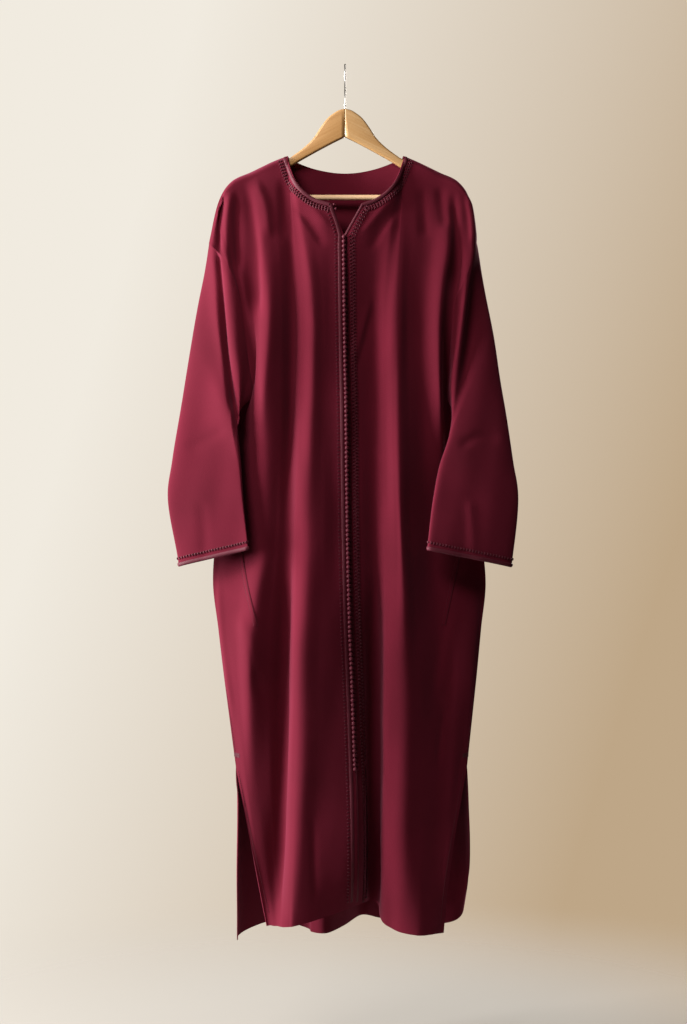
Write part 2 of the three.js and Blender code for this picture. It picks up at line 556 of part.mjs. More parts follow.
// A closed rod through rings that all have the same number of points.
function rod(rings) {
  const count = rings[0].length;
  const positions = rings.flat().flatMap((p) => [p.x, p.y, p.z]);
  const index = [];
  for (let r = 0; r < rings.length - 1; r++) {
    for (let k = 0; k < count; k++) {
      const [a, b] = [r * count + k, r * count + ((k + 1) % count)];
      index.push(a, b, b + count, a, b + count, a + count);
    }
  }
  const end = (rings.length - 1) * count;
  for (let k = 1; k < count - 1; k++) index.push(0, k + 1, k, end, end + k, end + k + 1);
  const geometry = new THREE.BufferGeometry();
  geometry.setAttribute("position", new THREE.Float32BufferAttribute(positions, 3));
  geometry.setIndex(index);
  return facingOut(geometry);
}

// A small knot against the left edge of the slit, level with the face of the cloth there.
function looseKnot(z) {
  const [foot, corner] = [0, LINE_SPLIT].map((column) => frontLeft.grid[0][column]);
  const edge = foot.clone().lerp(corner, (z - foot.z) / (corner.z - foot.z));
  const { radius, gap } = LOOSE_KNOT;
  return new THREE.IcosahedronGeometry(radius, 1).translate(edge.x + radius + gap, edge.y, z);
}

// The turned edge of a slanted pocket, along its mouth.
function pocketWelt(base, side, mouth) {
  const stations = mouth.map(([x, z]) => [[x, z], [x + side * WELT.width, z]]);
  return strip(base, stations, 1, WELT.thickness);
}

// A closed three.js geometry as a solid that can be cut.
function solid(geometry) {
  const bare = geometry.clone();
  bare.deleteAttribute("normal");
  bare.deleteAttribute("uv");
  const merged = mergeVertices(bare, 1e-4);
  const triVerts = new Uint32Array(merged.index.array);
  const vertProperties = merged.attributes.position.array;
  return new wasm.Manifold(new wasm.Mesh({ numProp: 3, vertProperties, triVerts }));
}

// A cut solid as a geometry again.
function geometryOf(cut) {
  const mesh = cut.getMesh();
  const geometry = new THREE.BufferGeometry();
  geometry.setAttribute("position", new THREE.BufferAttribute(new Float32Array(mesh.vertProperties), 3));
  return geometry.setIndex(new THREE.BufferAttribute(new Uint32Array(mesh.triVerts), 1));
}

// One half of the wood: the whole outline with rounded edges, kept on its own side of the glued middle joint,
// and bored for the bar and for the hook's foot.
function hangerArm(side) {
  const right = [...WOOD_TOP, ...WOOD_BELOW];
  const left = right.slice(1, -1).reverse().map(([x, z]) => [-x, z]);
  const outline = new THREE.Shape([...right, ...left].map(([x, z]) => new THREE.Vector2(x, z)));
  const whole = new THREE.ExtrudeGeometry(outline, {
    depth: WOOD_THICKNESS - 2 * WOOD_ROUND, bevelThickness: WOOD_ROUND, bevelSize: WOOD_ROUND,
    bevelOffset: -WOOD_ROUND, bevelSegments: 2,
  });
  whole.rotateX(Math.PI / 2).translate(0, WOOD_THICKNESS / 2 - WOOD_ROUND, 0);
  const reach = 2 * BAR.reach;
  const keep = new THREE.BoxGeometry(reach, reach, reach).translate(side * (reach / 2 + SEAM / 2), 0, BAR.z);
  const boreRadius = BAR.radius + FIT;
  const bore = new THREE.CylinderGeometry(boreRadius, boreRadius, 2 * (BAR.reach + FIT), BAR.sides);
  bore.rotateZ(Math.PI / 2).translate(0, 0, BAR.z);
  const hole = new THREE.CylinderGeometry(HOOK.wire + FIT, HOOK.wire + FIT, -HOOK.foot, HOOK.sides);
  hole.rotateX(Math.PI / 2).translate(0, 0, HOOK.foot / 2 - FIT);
  return geometryOf(solid(whole).intersect(solid(keep)).subtract(solid(bore)).subtract(solid(hole)));
}

// The hook: a straight foot in the wood, a swept neck and a round bend whose inside top is the origin.
function hook() {
  const middle = HOOK.wire - HOOK.bend;
  const points = HOOK.stem.map(([y, z]) => vec(0, y, z));
  for (let degrees = HOOK.from; degrees <= HOOK.to; degrees += HOOK.stride) {
    const angle = THREE.MathUtils.degToRad(degrees);
    points.push(vec(0, HOOK.bend * Math.cos(angle), middle + HOOK.bend * Math.sin(angle)));
  }
  const circle = [];
  for (let k = 0; k < HOOK.sides; k++) {
    const angle = (2 * Math.PI * k) / HOOK.sides;
    circle.push(new THREE.Vector2(HOOK.wire * Math.cos(angle), HOOK.wire * Math.sin(angle)));
  }
  return new THREE.ExtrudeGeometry(new THREE.Shape(circle), {
    steps: HOOK.steps, extrudePath: new THREE.CatmullRomCurve3(points),
  });
}

const frontLeft = panel(FRONT_LEFT, -1);
const frontRight = panel(FRONT_RIGHT, -1);
const back = panel(BACK, 1);
const sleeveLeft = sleeve(SLEEVE_LEFT, ARMHOLE_LEFT, -1);
const sleeveRight = sleeve(SLEEVE_RIGHT, ARMHOLE_RIGHT, 1);

const neckEdge = (base, from, to) => base.grid[0].slice(from * LINE_SPLIT, to * LINE_SPLIT + 1);
// The way across the braid as [x, z]: down the shoulder beside the neck, and beside the slit's corner.
const SHOULDER_WAY = { left: [-28, -14], right: [28, -14] };
const CORNER_WAY = { left: [-1, -6], right: [1, -6] };
const neckLeft = neckStations(
  neckEdge(frontLeft, 1, FRONT_NECK_LINES).reverse(), SHOULDER_WAY.left, CORNER_WAY.left,
);
const neckRight = neckStations(
  neckEdge(frontRight, 1, FRONT_NECK_LINES).reverse(), SHOULDER_WAY.right, CORNER_WAY.right,
);
const neckBack = neckStations(neckEdge(back, ...BACK_NECK_LINES), SHOULDER_WAY.left, SHOULDER_WAY.right);

const material = (color, roughness, metalness = 0) =>
  new THREE.MeshStandardMaterial({ color, roughness, metalness });
const wool = material(0x74203a, 0.9);
const braid = material(0x5c1329, 0.8);
const beech = material(0xdaa971, 0.5);
const steel = material(0xb8b4ae, 0.3, 1);

const gandoura = new THREE.Group();
function add(name, geometry, finish) {
  const mesh = new THREE.Mesh(geometry, finish);
  mesh.name = name;
  gandoura.add(mesh);
}
add("front_left", frontLeft.geometry, wool);
add("front_right", frontRight.geometry, wool);
add("back", back.geometry, wool);
add("sleeve_left", sleeveLeft.geometry, wool);
add("sleeve_right", sleeveRight.geometry, wool);
add("cuff_trim_left", sleeveLeft.trim, braid);
add("cuff_trim_right", sleeveRight.trim, braid);
add("neck_trim_left", strip(frontLeft, neckLeft, 2, BRAID), braid);
add("neck_trim_right", strip(frontRight, neckRight, 2, BRAID), braid);
add("neck_trim_back", strip(back, neckBack, 2, BRAID), braid);
add("front_trim_left", bandOn(frontLeft, BAND_COLUMNS), braid);
add("front_trim_right", bandOn(frontRight, BAND_COLUMNS), braid);
add("button_row", buttonRow(), braid);
add("loose_knot_upper", looseKnot(LOOSE_KNOT.upper), braid);
add("loose_knot_lower", looseKnot(LOOSE_KNOT.lower), braid);
add("pocket_welt_left", pocketWelt(frontLeft, -1, POCKET_LEFT), wool);
add("pocket_welt_right", pocketWelt(frontRight, 1, POCKET_RIGHT), wool);
add("hanger_arm_left", hangerArm(-1), beech);
add("hanger_arm_right", hangerArm(1), beech);
const bar = new THREE.CylinderGeometry(BAR.radius, BAR.radius, 2 * BAR.reach, BAR.sides);
add("hanger_bar", bar.rotateZ(Math.PI / 2).translate(0, 0, BAR.z), beech);
add("hook", hook(), steel);

export default gandoura;
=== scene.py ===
import math

import bmesh
import bpy
import numpy as np
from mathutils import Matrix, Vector
from mathutils.bvhtree import BVHTree


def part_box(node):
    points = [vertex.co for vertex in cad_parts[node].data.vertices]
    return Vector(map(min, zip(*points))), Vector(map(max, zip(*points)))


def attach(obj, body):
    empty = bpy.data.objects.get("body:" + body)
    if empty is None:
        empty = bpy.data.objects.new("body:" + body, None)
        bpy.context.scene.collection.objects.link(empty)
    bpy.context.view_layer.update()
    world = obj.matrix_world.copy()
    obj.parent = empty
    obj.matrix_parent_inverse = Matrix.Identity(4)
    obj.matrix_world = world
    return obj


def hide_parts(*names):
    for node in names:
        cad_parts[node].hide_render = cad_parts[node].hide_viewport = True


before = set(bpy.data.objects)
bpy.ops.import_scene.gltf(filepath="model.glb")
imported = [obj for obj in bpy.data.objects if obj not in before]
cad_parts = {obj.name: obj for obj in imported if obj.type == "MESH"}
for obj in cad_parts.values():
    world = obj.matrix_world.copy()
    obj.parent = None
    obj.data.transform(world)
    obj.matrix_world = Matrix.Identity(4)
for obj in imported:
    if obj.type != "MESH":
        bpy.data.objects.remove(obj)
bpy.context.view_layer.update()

# ---- The body panels -------------------------------------------------------------------------
# Two front halves and a back of burgundy woollen twill, each cut in one length. They hang from
# the shoulder seams over the hanger, so the spare width falls in long, uneven folds. Shoulders,
# armholes and sides are sewn and pressed flat, and the sides are open below the vents.
MM = 0.001  # the sizes of this file are in millimetres
CLOTH = 1.8  # thickness of the cloth
PRESSED = 0.2  # share of it that is left at a pressed seam, where two edges meet
PRESSED_WIDTH = 7
CREASE_STARTS = 4.5  # a seam lies flat, and a crease is whole this far from it
CREASE_STEPS = 6  # points drawn for each point of a crease's path
RUMPLE = 0.35  # height of the slight unevenness between creases
SEAM = 0.3  # gap between the front and the back at a side seam
# Heights of the named levels of the body, below the hook.
LEVELS = {
    "chest": -434, "underarm": -620, "gusset": -662, "elbow": -769, "cuff": -917, "hip": -1066,
    "vent": -1304, "shin": -1475,
}
# Depths below the top edge of the first rows of a panel, and how far the cloth stands from the
# hanger's middle plane at each of them where it rolls over the arm.
ROLL_BELOW = [0, 3, 8, 17]
ROLL_OUT = [0.15, 5.4, 8.8, 9.6]
# The shoulder line from the neck point to the top of the armhole seam: (x, z).
SHOULDER_LEFT = [
    (-108, -168), (-136, -179), (-173, -197), (-212, -216), (-236, -255), (-253, -329),
]
SHOULDER_RIGHT = [
    (110, -168), (138, -180), (175, -198), (211, -216), (233, -252), (245, -329),
]
# The armhole seam from the shoulder to the underarm: how far out, how far from the middle
# plane, and how high. Front and back follow the same line.
ARMHOLE_LEFT = [
    (-253, 0, -329), (-251, 4, -332), (-247, 9, -337), (-238, 14, -346), (-220, 20, -367),
    (-205, 21, -400), (-194, 18, -440), (-185, 14, -500), (-178, 8, -560), (-171, 0, -616),
]
ARMHOLE_RIGHT = [
    (245, 0, -329), (244.5, 4, -332), (243, 9, -337), (240, 14, -346), (234, 19, -367),
    (221, 22, -400), (204, 19, -440), (197, 15, -500), (193, 8, -560), (190, 0, -616),
]
UNDERARM_ROW = len(ARMHOLE_LEFT) - 1
SIDE_SPANS = 8
VENT_SPANS = 4
VENT_ROW = UNDERARM_ROW + SIDE_SPANS
ARMHOLE_PARTS = [4, 4, 6, 10, 12, 12, 12, 8, 6]  # rows of faces between the rows of the armhole
ROW_PARTS = ARMHOLE_PARTS + [14] * SIDE_SPANS + [12] * VENT_SPANS
FRONT_PARTS = 10  # columns of faces between two fold lines
BACK_PARTS = 8
# Fold lines: the run of one crest, flank or valley from its top edge to the hem, as (x, y) at
# each level and (x, y, z) at the top and the hem. A shoulder line starts on the shoulder line.
OPENING = dict(top=(-2, -29, -319), chest=(-1, -27), underarm=(2, -24), elbow=(4, -29), cuff=(6, -30),
    hip=(10, -33), vent=(19, -34), shin=(22, -46), hem=(20, -20, -1558))
FRONT_LEFT = [
    OPENING,
    dict(top=(-25, -33, -261), chest=(-25, -30), underarm=(-22, -26), elbow=(-20, -31),
        cuff=(-18, -34), hip=(-14, -42), vent=(-5, -38), shin=(-2, -56), hem=(-4, -46, -1562)),
    dict(top=(-60, -31, -249), chest=(-42, -35), underarm=(-42, -29), elbow=(-42, -38),
        cuff=(-42, -41), hip=(-44, -52), vent=(-48, -46), shin=(-52, -66), hem=(-52, -74, -1572)),
    dict(top=(-90, -25, -220), chest=(-61, -40), underarm=(-62, -35), elbow=(-67, -43),
        cuff=(-69, -46), hip=(-73, -59), vent=(-78, -53), shin=(-84, -73), hem=(-90, -88, -1580)),
    dict(top=(-107, -10, -178), chest=(-80, -30), underarm=(-82, -22), elbow=(-87, -33),
        cuff=(-89, -36), hip=(-92, -50), vent=(-97, -43), shin=(-101, -63), hem=(-102, -86, -1582)),
    dict(shoulder=0, chest=(-98, -17), underarm=(-100, -5), elbow=(-102, -9), cuff=(-106, -14),
        hip=(-110, -21), vent=(-116, -14), shin=(-117, -32), hem=(-114, -78, -1584)),
    dict(shoulder=1, chest=(-119, -29), underarm=(-121, -21), elbow=(-122, -14), cuff=(-128, -18),
        hip=(-140, -29), vent=(-140, -14), shin=(-130, -26), hem=(-124, -66, -1585)),
    dict(shoulder=2, chest=(-142, -36), underarm=(-147, -31), elbow=(-148, -19), cuff=(-154, -22),
        hip=(-174, -42), vent=(-168, -17), shin=(-146, -29), hem=(-131, -60, -1586)),
    dict(shoulder=3, chest=(-168, -20), underarm=(-163, -20), elbow=(-174, -9), cuff=(-187, -3),
        hip=(-201, -20), vent=(-184, -13), shin=(-158, -30), hem=(-137, -56, -1586)),
    dict(shoulder=4, chest=(-184, -18), underarm=(-160, -4), gusset=(-190, 4), elbow=(-200, 14),
        cuff=(-228, 16), hip=(-223, -5), vent=(-195, -6), shin=(-164, -31), hem=(-141, -55, -1587)),
    dict(armhole=True, gusset=(-202, 20), elbow=(-212, 26), cuff=(-247, 22), hip=(-234, 7),
        vent=(-203, 0), shin=(-167, -32), hem=(-143, -56, -1587)),
]
FRONT_RIGHT = [
    OPENING,
    dict(top=(31, -33, -261), chest=(23, -23), underarm=(26, -16), elbow=(28, -24), cuff=(30, -26),
        hip=(34, -24), vent=(41, -20), shin=(44, -18), hem=(40, 0, -1557)),
    dict(top=(61, -31, -249), chest=(53, -15), underarm=(54, -10), elbow=(52, -15), cuff=(55, -15),
        hip=(61, -6), vent=(64, -2), shin=(58, 8), hem=(54, 16, -1560)),
    dict(top=(91, -25, -220), chest=(73, -25), underarm=(73, -22), elbow=(74, -28), cuff=(76, -31),
        hip=(74, -30), vent=(72, -28), shin=(67, -32), hem=(68, -40, -1582)),
    dict(top=(109, -10, -178), chest=(89, -32), underarm=(88, -32), elbow=(90, -41), cuff=(95, -43),
        hip=(93, -41), vent=(91, -40), shin=(86, -51), hem=(84, -60, -1590)),
    dict(shoulder=0, chest=(103, -31), underarm=(101, -34), elbow=(103, -44), cuff=(108, -46),
        hip=(113, -43), vent=(112, -43), shin=(108, -58), hem=(102, -74, -1595)),
    dict(shoulder=1, chest=(119, -23), underarm=(120, -22), elbow=(122, -28), cuff=(127, -27),
        hip=(135, -31), vent=(138, -34), shin=(135, -50), hem=(132, -80, -1599)),
    dict(shoulder=2, chest=(147, -19), underarm=(146, -15), elbow=(149, -8), cuff=(157, -4),
        hip=(174, -10), vent=(172, -19), shin=(160, -40), hem=(152, -72, -1600)),
    dict(shoulder=3, chest=(176, -31), underarm=(175, -28), elbow=(181, 0), cuff=(198, 4),
        hip=(212, -9), vent=(200, -13), shin=(178, -34), hem=(166, -62, -1600)),
    dict(shoulder=4, chest=(192, -20), underarm=(184, -8), elbow=(200, 16), cuff=(238, 18),
        hip=(240, -4), vent=(214, -6), shin=(188, -32), hem=(174, -54, -1601)),
    dict(armhole=True, gusset=(202, 18), elbow=(217, 28), cuff=(262, 24), hip=(252, 7), vent=(227, 0),
        shin=(195, -28), hem=(181, -50, -1601)),
]
BACK = [
    dict(armhole=True, gusset=(-202, 20), elbow=(-212, 26), cuff=(-247, 22), hip=(-234, 7),
        vent=(-203, 0), shin=(-206, 6), hem=(-208, 20, -1629)),
    dict(shoulder=4, chest=(-188, 20), underarm=(-164, 14), gusset=(-190, 34), elbow=(-200, 42),
        cuff=(-234, 38), hip=(-224, 26), vent=(-198, 20), shin=(-196, 30), hem=(-196, 42, -1622)),
    dict(shoulder=3, chest=(-170, 26), underarm=(-163, 28), elbow=(-180, 44), cuff=(-208, 50),
        hip=(-200, 50), vent=(-182, 44), shin=(-176, 52), hem=(-172, 62, -1614)),
    dict(shoulder=2, chest=(-148, 32), underarm=(-148, 40), elbow=(-152, 52), cuff=(-166, 60),
        hip=(-166, 66), vent=(-156, 66), shin=(-150, 74), hem=(-142, 84, -1610)),
    dict(shoulder=1, chest=(-124, 24), underarm=(-124, 28), elbow=(-124, 36), cuff=(-130, 40),
        hip=(-130, 46), vent=(-122, 54), shin=(-114, 64), hem=(-106, 76, -1610)),
    dict(shoulder=0, chest=(-94, 18), underarm=(-96, 20), elbow=(-92, 26), cuff=(-92, 30),
        hip=(-88, 32), vent=(-82, 32), shin=(-74, 32), hem=(-68, 36, -1613)),
    dict(top=(-104, 10, -172), chest=(-80, 22), underarm=(-82, 26), elbow=(-80, 34), cuff=(-78, 38),
        hip=(-76, 36), vent=(-70, 32), shin=(-64, 22), hem=(-61, 17, -1615)),
    dict(top=(-56, 20, -189), chest=(-52, 30), underarm=(-56, 38), elbow=(-54, 48), cuff=(-50, 52),
        hip=(-50, 44), vent=(-46, 30), shin=(-40, 17), hem=(-34, 12, -1616)),
    dict(top=(0, 25, -196), chest=(0, 22), underarm=(-2, 28), elbow=(-2, 34), cuff=(0, 44),
        hip=(0, 54), vent=(0, 60), shin=(0, 62), hem=(-4, 54, -1612)),
    dict(top=(56, 20, -189), chest=(52, 32), underarm=(54, 42), elbow=(56, 52), cuff=(54, 66),
        hip=(50, 80), vent=(44, 92), shin=(38, 102), hem=(30, 110, -1604)),
    dict(top=(106, 10, -172), chest=(80, 26), underarm=(82, 30), elbow=(84, 36), cuff=(82, 46),
        hip=(80, 58), vent=(76, 68), shin=(70, 80), hem=(64, 92, -1605)),
    dict(shoulder=0, chest=(96, 20), underarm=(98, 22), elbow=(98, 26), cuff=(100, 36), hip=(100, 44),
        vent=(98, 54), shin=(94, 66), hem=(88, 78, -1606)),
    dict(shoulder=1, chest=(126, 28), underarm=(128, 30), elbow=(132, 38), cuff=(138, 44),
        hip=(142, 46), vent=(140, 42), shin=(138, 44), hem=(134, 48, -1608)),
    dict(shoulder=2, chest=(152, 34), underarm=(154, 42), elbow=(164, 54), cuff=(180, 62),
        hip=(186, 66), vent=(184, 62), shin=(184, 56), hem=(180, 50, -1607)),
    dict(shoulder=3, chest=(176, 26), underarm=(176, 28), elbow=(190, 46), cuff=(218, 54),
        hip=(220, 50), vent=(208, 44), shin=(210, 46), hem=(206, 50, -1601)),
    dict(shoulder=4, chest=(196, 20), underarm=(186, 16), elbow=(206, 38), cuff=(246, 40),
        hip=(244, 26), vent=(222, 22), shin=(226, 30), hem=(220, 58, -1590)),
    dict(armhole=True, gusset=(202, 18), elbow=(217, 28), cuff=(262, 24), hip=(252, 7), vent=(227, 0),
        shin=(234, 14), hem=(226, 70, -1572)),
]


def smooth_at(stations, values, t):
    """Smooth values at each t, through values placed at rising stations."""
    stations, values, t = (np.asarray(a, float) for a in (stations, values, t))
    last = len(stations) - 1
    every = np.arange(last + 1)
    before, after = np.maximum(every - 1, 0), np.minimum(every + 1, last)
    flat = values.reshape(last + 1, -1)
    slope = (flat[after] - flat[before]) / (stations[after] - stations[before])[:, None]
    i = np.clip(np.searchsorted(stations, t) - 1, 0, last - 1)
    width = (stations[i + 1] - stations[i])[:, None]
    u = np.clip((t - stations[i])[:, None] / width, 0, 1)
    made = flat[i] * (1 + 2 * u) * (1 - u) ** 2 + flat[i + 1] * u * u * (3 - 2 * u)
    made += width * (slope[i] * u * (1 - u) ** 2 - slope[i + 1] * u * u * (1 - u))
    return made.reshape((len(t),) + values.shape[1:])


def spans(parts):
    """Places 0 to len(parts), with each span from one whole number to the next split in its parts."""
    return np.concatenate([[0.0]] + [i + np.arange(1, n + 1) / n for i, n in enumerate(parts)])


def side_heights(hem):
    """Heights of the rows on a side seam, down to a hem at that height."""
    underarm, vent = ARMHOLE_LEFT[-1][2], LEVELS["vent"]
    side = [underarm + (vent - underarm) * i / SIDE_SPANS for i in range(1, SIDE_SPANS + 1)]
    slit = [vent + (hem - vent) * i / VENT_SPANS for i in range(1, VENT_SPANS + 1)]
    return [row[2] for row in ARMHOLE_LEFT] + side + slit


def is_left(line):
    return line["hem"][0] + line["vent"][0] < 0


def shoulder_of(line):
    """The shoulder line that this fold line starts on, and its place there."""
    table = SHOULDER_LEFT if is_left(line) else SHOULDER_RIGHT
    return table, len(table) - 1 if "armhole" in line else line.get("shoulder")


def fold_run(line, facing):
    """Points of one fold line, one for each row. facing is -1 on the front and 1 on the back."""
    armhole = ARMHOLE_LEFT if is_left(line) else ARMHOLE_RIGHT
    table, order = shoulder_of(line)
    at_side, on_shoulder = "armhole" in line, "shoulder" in line
    hem_z = line["hem"][2]
    heights = side_heights(hem_z)
    rolled = len(ROLL_BELOW) - 1
    if at_side:
        head = (armhole[-1][0], 0, armhole[-1][2])
    else:
        x, y, top = (table[order][0], 0, table[order][1]) if on_shoulder else line["top"]
        head = (x, facing * ROLL_OUT[-1] if on_shoulder else y, top - ROLL_BELOW[-1])
    names = [name for name in LEVELS if name in line]
    spots = np.array([head] + [(*line[name], LEVELS[name]) for name in names] + [line["hem"]], float)
    vent = names.index("vent") + 1
    first = head[2] if at_side else heights[rolled]
    points = []
    for row, height in enumerate(heights):
        if at_side and row <= UNDERARM_ROW:
            x, out, z = armhole[row]
            points.append((x, facing * (out or SEAM / 2), z))
            continue
        if not at_side and row <= rolled:
            out = facing * ROLL_OUT[row] if on_shoulder else y
            points.append((x, out, top - ROLL_BELOW[row]))
            continue
        z = head[2] + (hem_z - head[2]) * (height - first) / (hem_z - first)
        run, shift = spots, 0
        if at_side:
            sewn = row <= VENT_ROW
            run = spots[: vent + 1] if sewn else spots[vent:]
            shift = facing * SEAM / 2 if sewn else 0
        x_here, y_here = smooth_at(-run[:, 2], run[:, :2], [-z])[0]
        points.append((x_here, y_here + shift, z))
    return np.array(points)


def panel_grid(lines, facing, parts):
    """A panel's outer face as points, grid[row, column]."""
    runs = np.array([fold_run(line, facing) for line in lines])
    columns = spans([parts] * (len(lines) - 1))
    net = smooth_at(range(len(lines)), runs, columns)
    rolled = len(ROLL_BELOW)
    if facing < 0:
        # The slit and the neckline meet in a corner, so neither bends the other's edge.
        slit = smooth_at([0, 1], runs[:2], columns[: parts + 1])
        neck = smooth_at(range(1, len(lines)), runs[1:], columns[parts + 1 :])
        net[:, :rolled] = np.concatenate([slit, neck])[:, :rolled]
    # Front and back share the points of the shoulder seam, so its run comes from its own line.
    for i, (line, follower) in enumerate(zip(lines, lines[1:])):
        (table, order), (follower_table, next_order) = shoulder_of(line), shoulder_of(follower)
        if order is None or next_order is None or table is not follower_table:
            continue
        share = np.arange(parts + 1) / parts
        seam = smooth_at(range(len(table)), table, order + (next_order - order) * share)
        start = np.column_stack([seam[:, 0], np.full(parts + 1, facing * SEAM / 2), seam[:, 1]])
        own, its = (runs[k][:rolled] - runs[k][:1] for k in (i, i + 1))
        roll = own + (its - own) * share[:, None, None]
        net[i * parts : (i + 1) * parts + 1, :rolled] = start[:, None] + roll
    net = net.swapaxes(0, 1)
    depths = -np.array(side_heights(lines[0]["hem"][2]))
    t = np.interp(spans(ROW_PARTS), range(len(depths)), depths)
    whole = smooth_at(depths, net, t)
    # A side seam ends at the vent, so above it its run takes nothing from what hangs below.
    sewn = t <= depths[VENT_ROW]
    parted = np.concatenate([
        smooth_at(depths[: VENT_ROW + 1], net[: VENT_ROW + 1], t[sewn]),
        smooth_at(depths[VENT_ROW:], net[VENT_ROW:], t[~sewn]),
    ])
    sides = [i for i, line in enumerate(lines) if "armhole" in line]
    away = np.min([np.abs(columns - i) for i in sides], axis=0)
    near = np.clip(1 - away / 2, 0, 1)[:, None] ** 2
    return whole + (parted - whole) * near


def out_of(grid, closed, towards):
    """Unit vectors out of a grid's face. towards is the side it faces, a vector at its middle."""
    if closed:
        across = np.roll(grid, -1, axis=1) - np.roll(grid, 1, axis=1)
    else:
        across = np.gradient(grid, axis=1)
    normal = np.cross(across, np.gradient(grid, axis=0))
    normal /= np.maximum(np.linalg.norm(normal, axis=2, keepdims=True), 1e-9)
    middle = normal[grid.shape[0] // 2, 0 if closed else grid.shape[1] // 2]
    return normal if middle @ np.array(towards) > 0 else -normal


def run_lengths(points):
    """Distance along a run of points from its first. The runs of a grid go down its columns."""
    steps = np.linalg.norm(np.diff(points, axis=0), axis=-1)
    return np.concatenate([np.zeros_like(steps[:1]), np.cumsum(steps, axis=0)])


def run_across(grid):
    """Distance along each row of a grid, from its first column."""
    return run_lengths(grid.swapaxes(0, 1)).swapaxes(0, 1)


def smoothstep(t):
    t = np.clip(t, 0, 1)
    return t * t * (3 - 2 * t)


def smooth_path(path, steps):
    """A smooth line through the points of a path, with this many points for each of them."""
    path = np.array(path, float)
    if len(path) > 2:
        path = smooth_at(range(len(path)), path, np.linspace(0, len(path) - 1, steps * len(path)))
    return path


def crease(grid, out, height, left, right, path, fade=0.25):
    """Raises a soft ridge, or sinks a trough, along a path of (x, z), with its own width on each
    side. fade is the share of its length over which each end dies away."""
    path = smooth_path(path, CREASE_STEPS)
    xz = grid[..., [0, 2]]
    nearest = np.full(grid.shape[:2], np.inf)
    lift = np.zeros(grid.shape[:2])
    lengths = run_lengths(path)
    for a, b, start in zip(path, path[1:], lengths):
        step = b - a
        size = np.linalg.norm(step)
        along = np.clip((xz - a) @ step / size**2, 0, 1)
        gap = xz - a - along[..., None] * step
        distance = np.linalg.norm(gap, axis=-1)
        width = np.where(gap[..., 0] < 0, left, right)
        share = (start + along * size) / lengths[-1]
        ends = smoothstep(share / fade) * smoothstep((1 - share) / fade)
        closer = distance < nearest
        lift = np.where(closer, height * ends * np.exp(-((distance / width) ** 2)), lift)
        nearest = np.where(closer, distance, nearest)
    return grid + out * lift[..., None]


def folded(grid, closed, towards, creases):
    """The grid with its small creases, and the slight unevenness of cloth between them."""
    out = out_of(grid, closed, towards)
    for row in creases:
        grid = crease(grid, out, *row)
    x, z = grid[..., 0], grid[..., 2]
    waves = np.sin(x / 17 + 2.1 * np.sin(z / 61)) + np.sin(x / 9.5 - z / 47) + np.sin(z / 38 + x / 70)
    return grid + out * (RUMPLE * waves)[..., None]


def piece_from(name, vertices, faces, material, smooth_angle=50):
    """A mesh object that rides on the one rigid body. vertices are in millimetres."""
    mesh = bpy.data.meshes.new(name)
    mesh.from_pydata((np.asarray(vertices) * MM).tolist(), [], faces)
    shell = bmesh.new()
    shell.from_mesh(mesh)
    bmesh.ops.recalc_face_normals(shell, faces=shell.faces)
    shell.to_mesh(mesh)
    shell.free()
    mesh.shade_smooth()
    mesh.set_sharp_from_angle(angle=math.radians(smooth_angle))
    mesh.materials.append(material)
    made = bpy.data.objects.new(name, mesh)
    bpy.context.scene.collection.objects.link(made)
    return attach(made, "root")


def quads_of(rows, columns, closed, first=0):
    """Faces between rows of points."""
    index = first + np.arange(rows * columns).reshape(rows, columns)
    if closed:
        index = np.hstack([index, index[:, :1]])
    corners = (index[:-1, :-1], index[1:, :-1], index[1:, 1:], index[:-1, 1:])
    return index, np.stack(corners, axis=-1).reshape(-1, 4)


def cloth_object(name, grid, out, thickness, closed, material):
    """A wall of cloth between its outer face and an inner one."""
    inner = grid - out * thickness[..., None]
    rows, columns = grid.shape[:2]
    outer_index, outer_faces = quads_of(rows, columns, closed)
    inner_index, inner_faces = quads_of(rows, columns, closed, rows * columns)
    rims = [(outer_index[0], inner_index[0]), (outer_index[-1], inner_index[-1])]
    if not closed:
        rims += [(outer_index[:, 0], inner_index[:, 0]), (outer_index[:, -1], inner_index[:, -1])]
    faces = outer_faces.tolist() + inner_faces[:, ::-1].tolist()
    for outer_rim, inner_rim in rims:
        faces += np.stack([outer_rim[:-1], inner_rim[:-1], inner_rim[1:], outer_rim[1:]], axis=1).tolist()
    vertices = np.concatenate([grid.reshape(-1, 3), inner.reshape(-1, 3)])
    return piece_from(name, vertices, faces, material)


def linear(hex_colour):
    """Turns an sRGB hex colour to linear red, green, blue and alpha."""
    parts = [int(hex_colour[i : i + 2], 16) / 255 for i in (1, 3, 5)]
    return [c / 12.92 if c <= 0.04045 else ((c + 0.055) / 1.055) ** 2.4 for c in parts] + [1]


def add_node(tree, kind, settings=(), inputs=()):
    """Adds a node with its settings. An input is a value, or another node's output to link."""
    made = tree.nodes.new(kind)
    for name, value in dict(settings).items():
        setattr(made, name, value)
    for name, value in dict(inputs).items():
        if isinstance(value, bpy.types.NodeSocket):
            tree.links.new(value, made.inputs[name])
        else:
            made.inputs[name].default_value = value
    return made


def new_material(name):
    made = bpy.data.materials.new(name)
    made.use_nodes = True
    made.node_tree.nodes.clear()
    return made, made.node_tree


DIAGONAL_BANDS = 0.444  # spacing of a wave texture's diagonal bands on an upright face, at scale 1


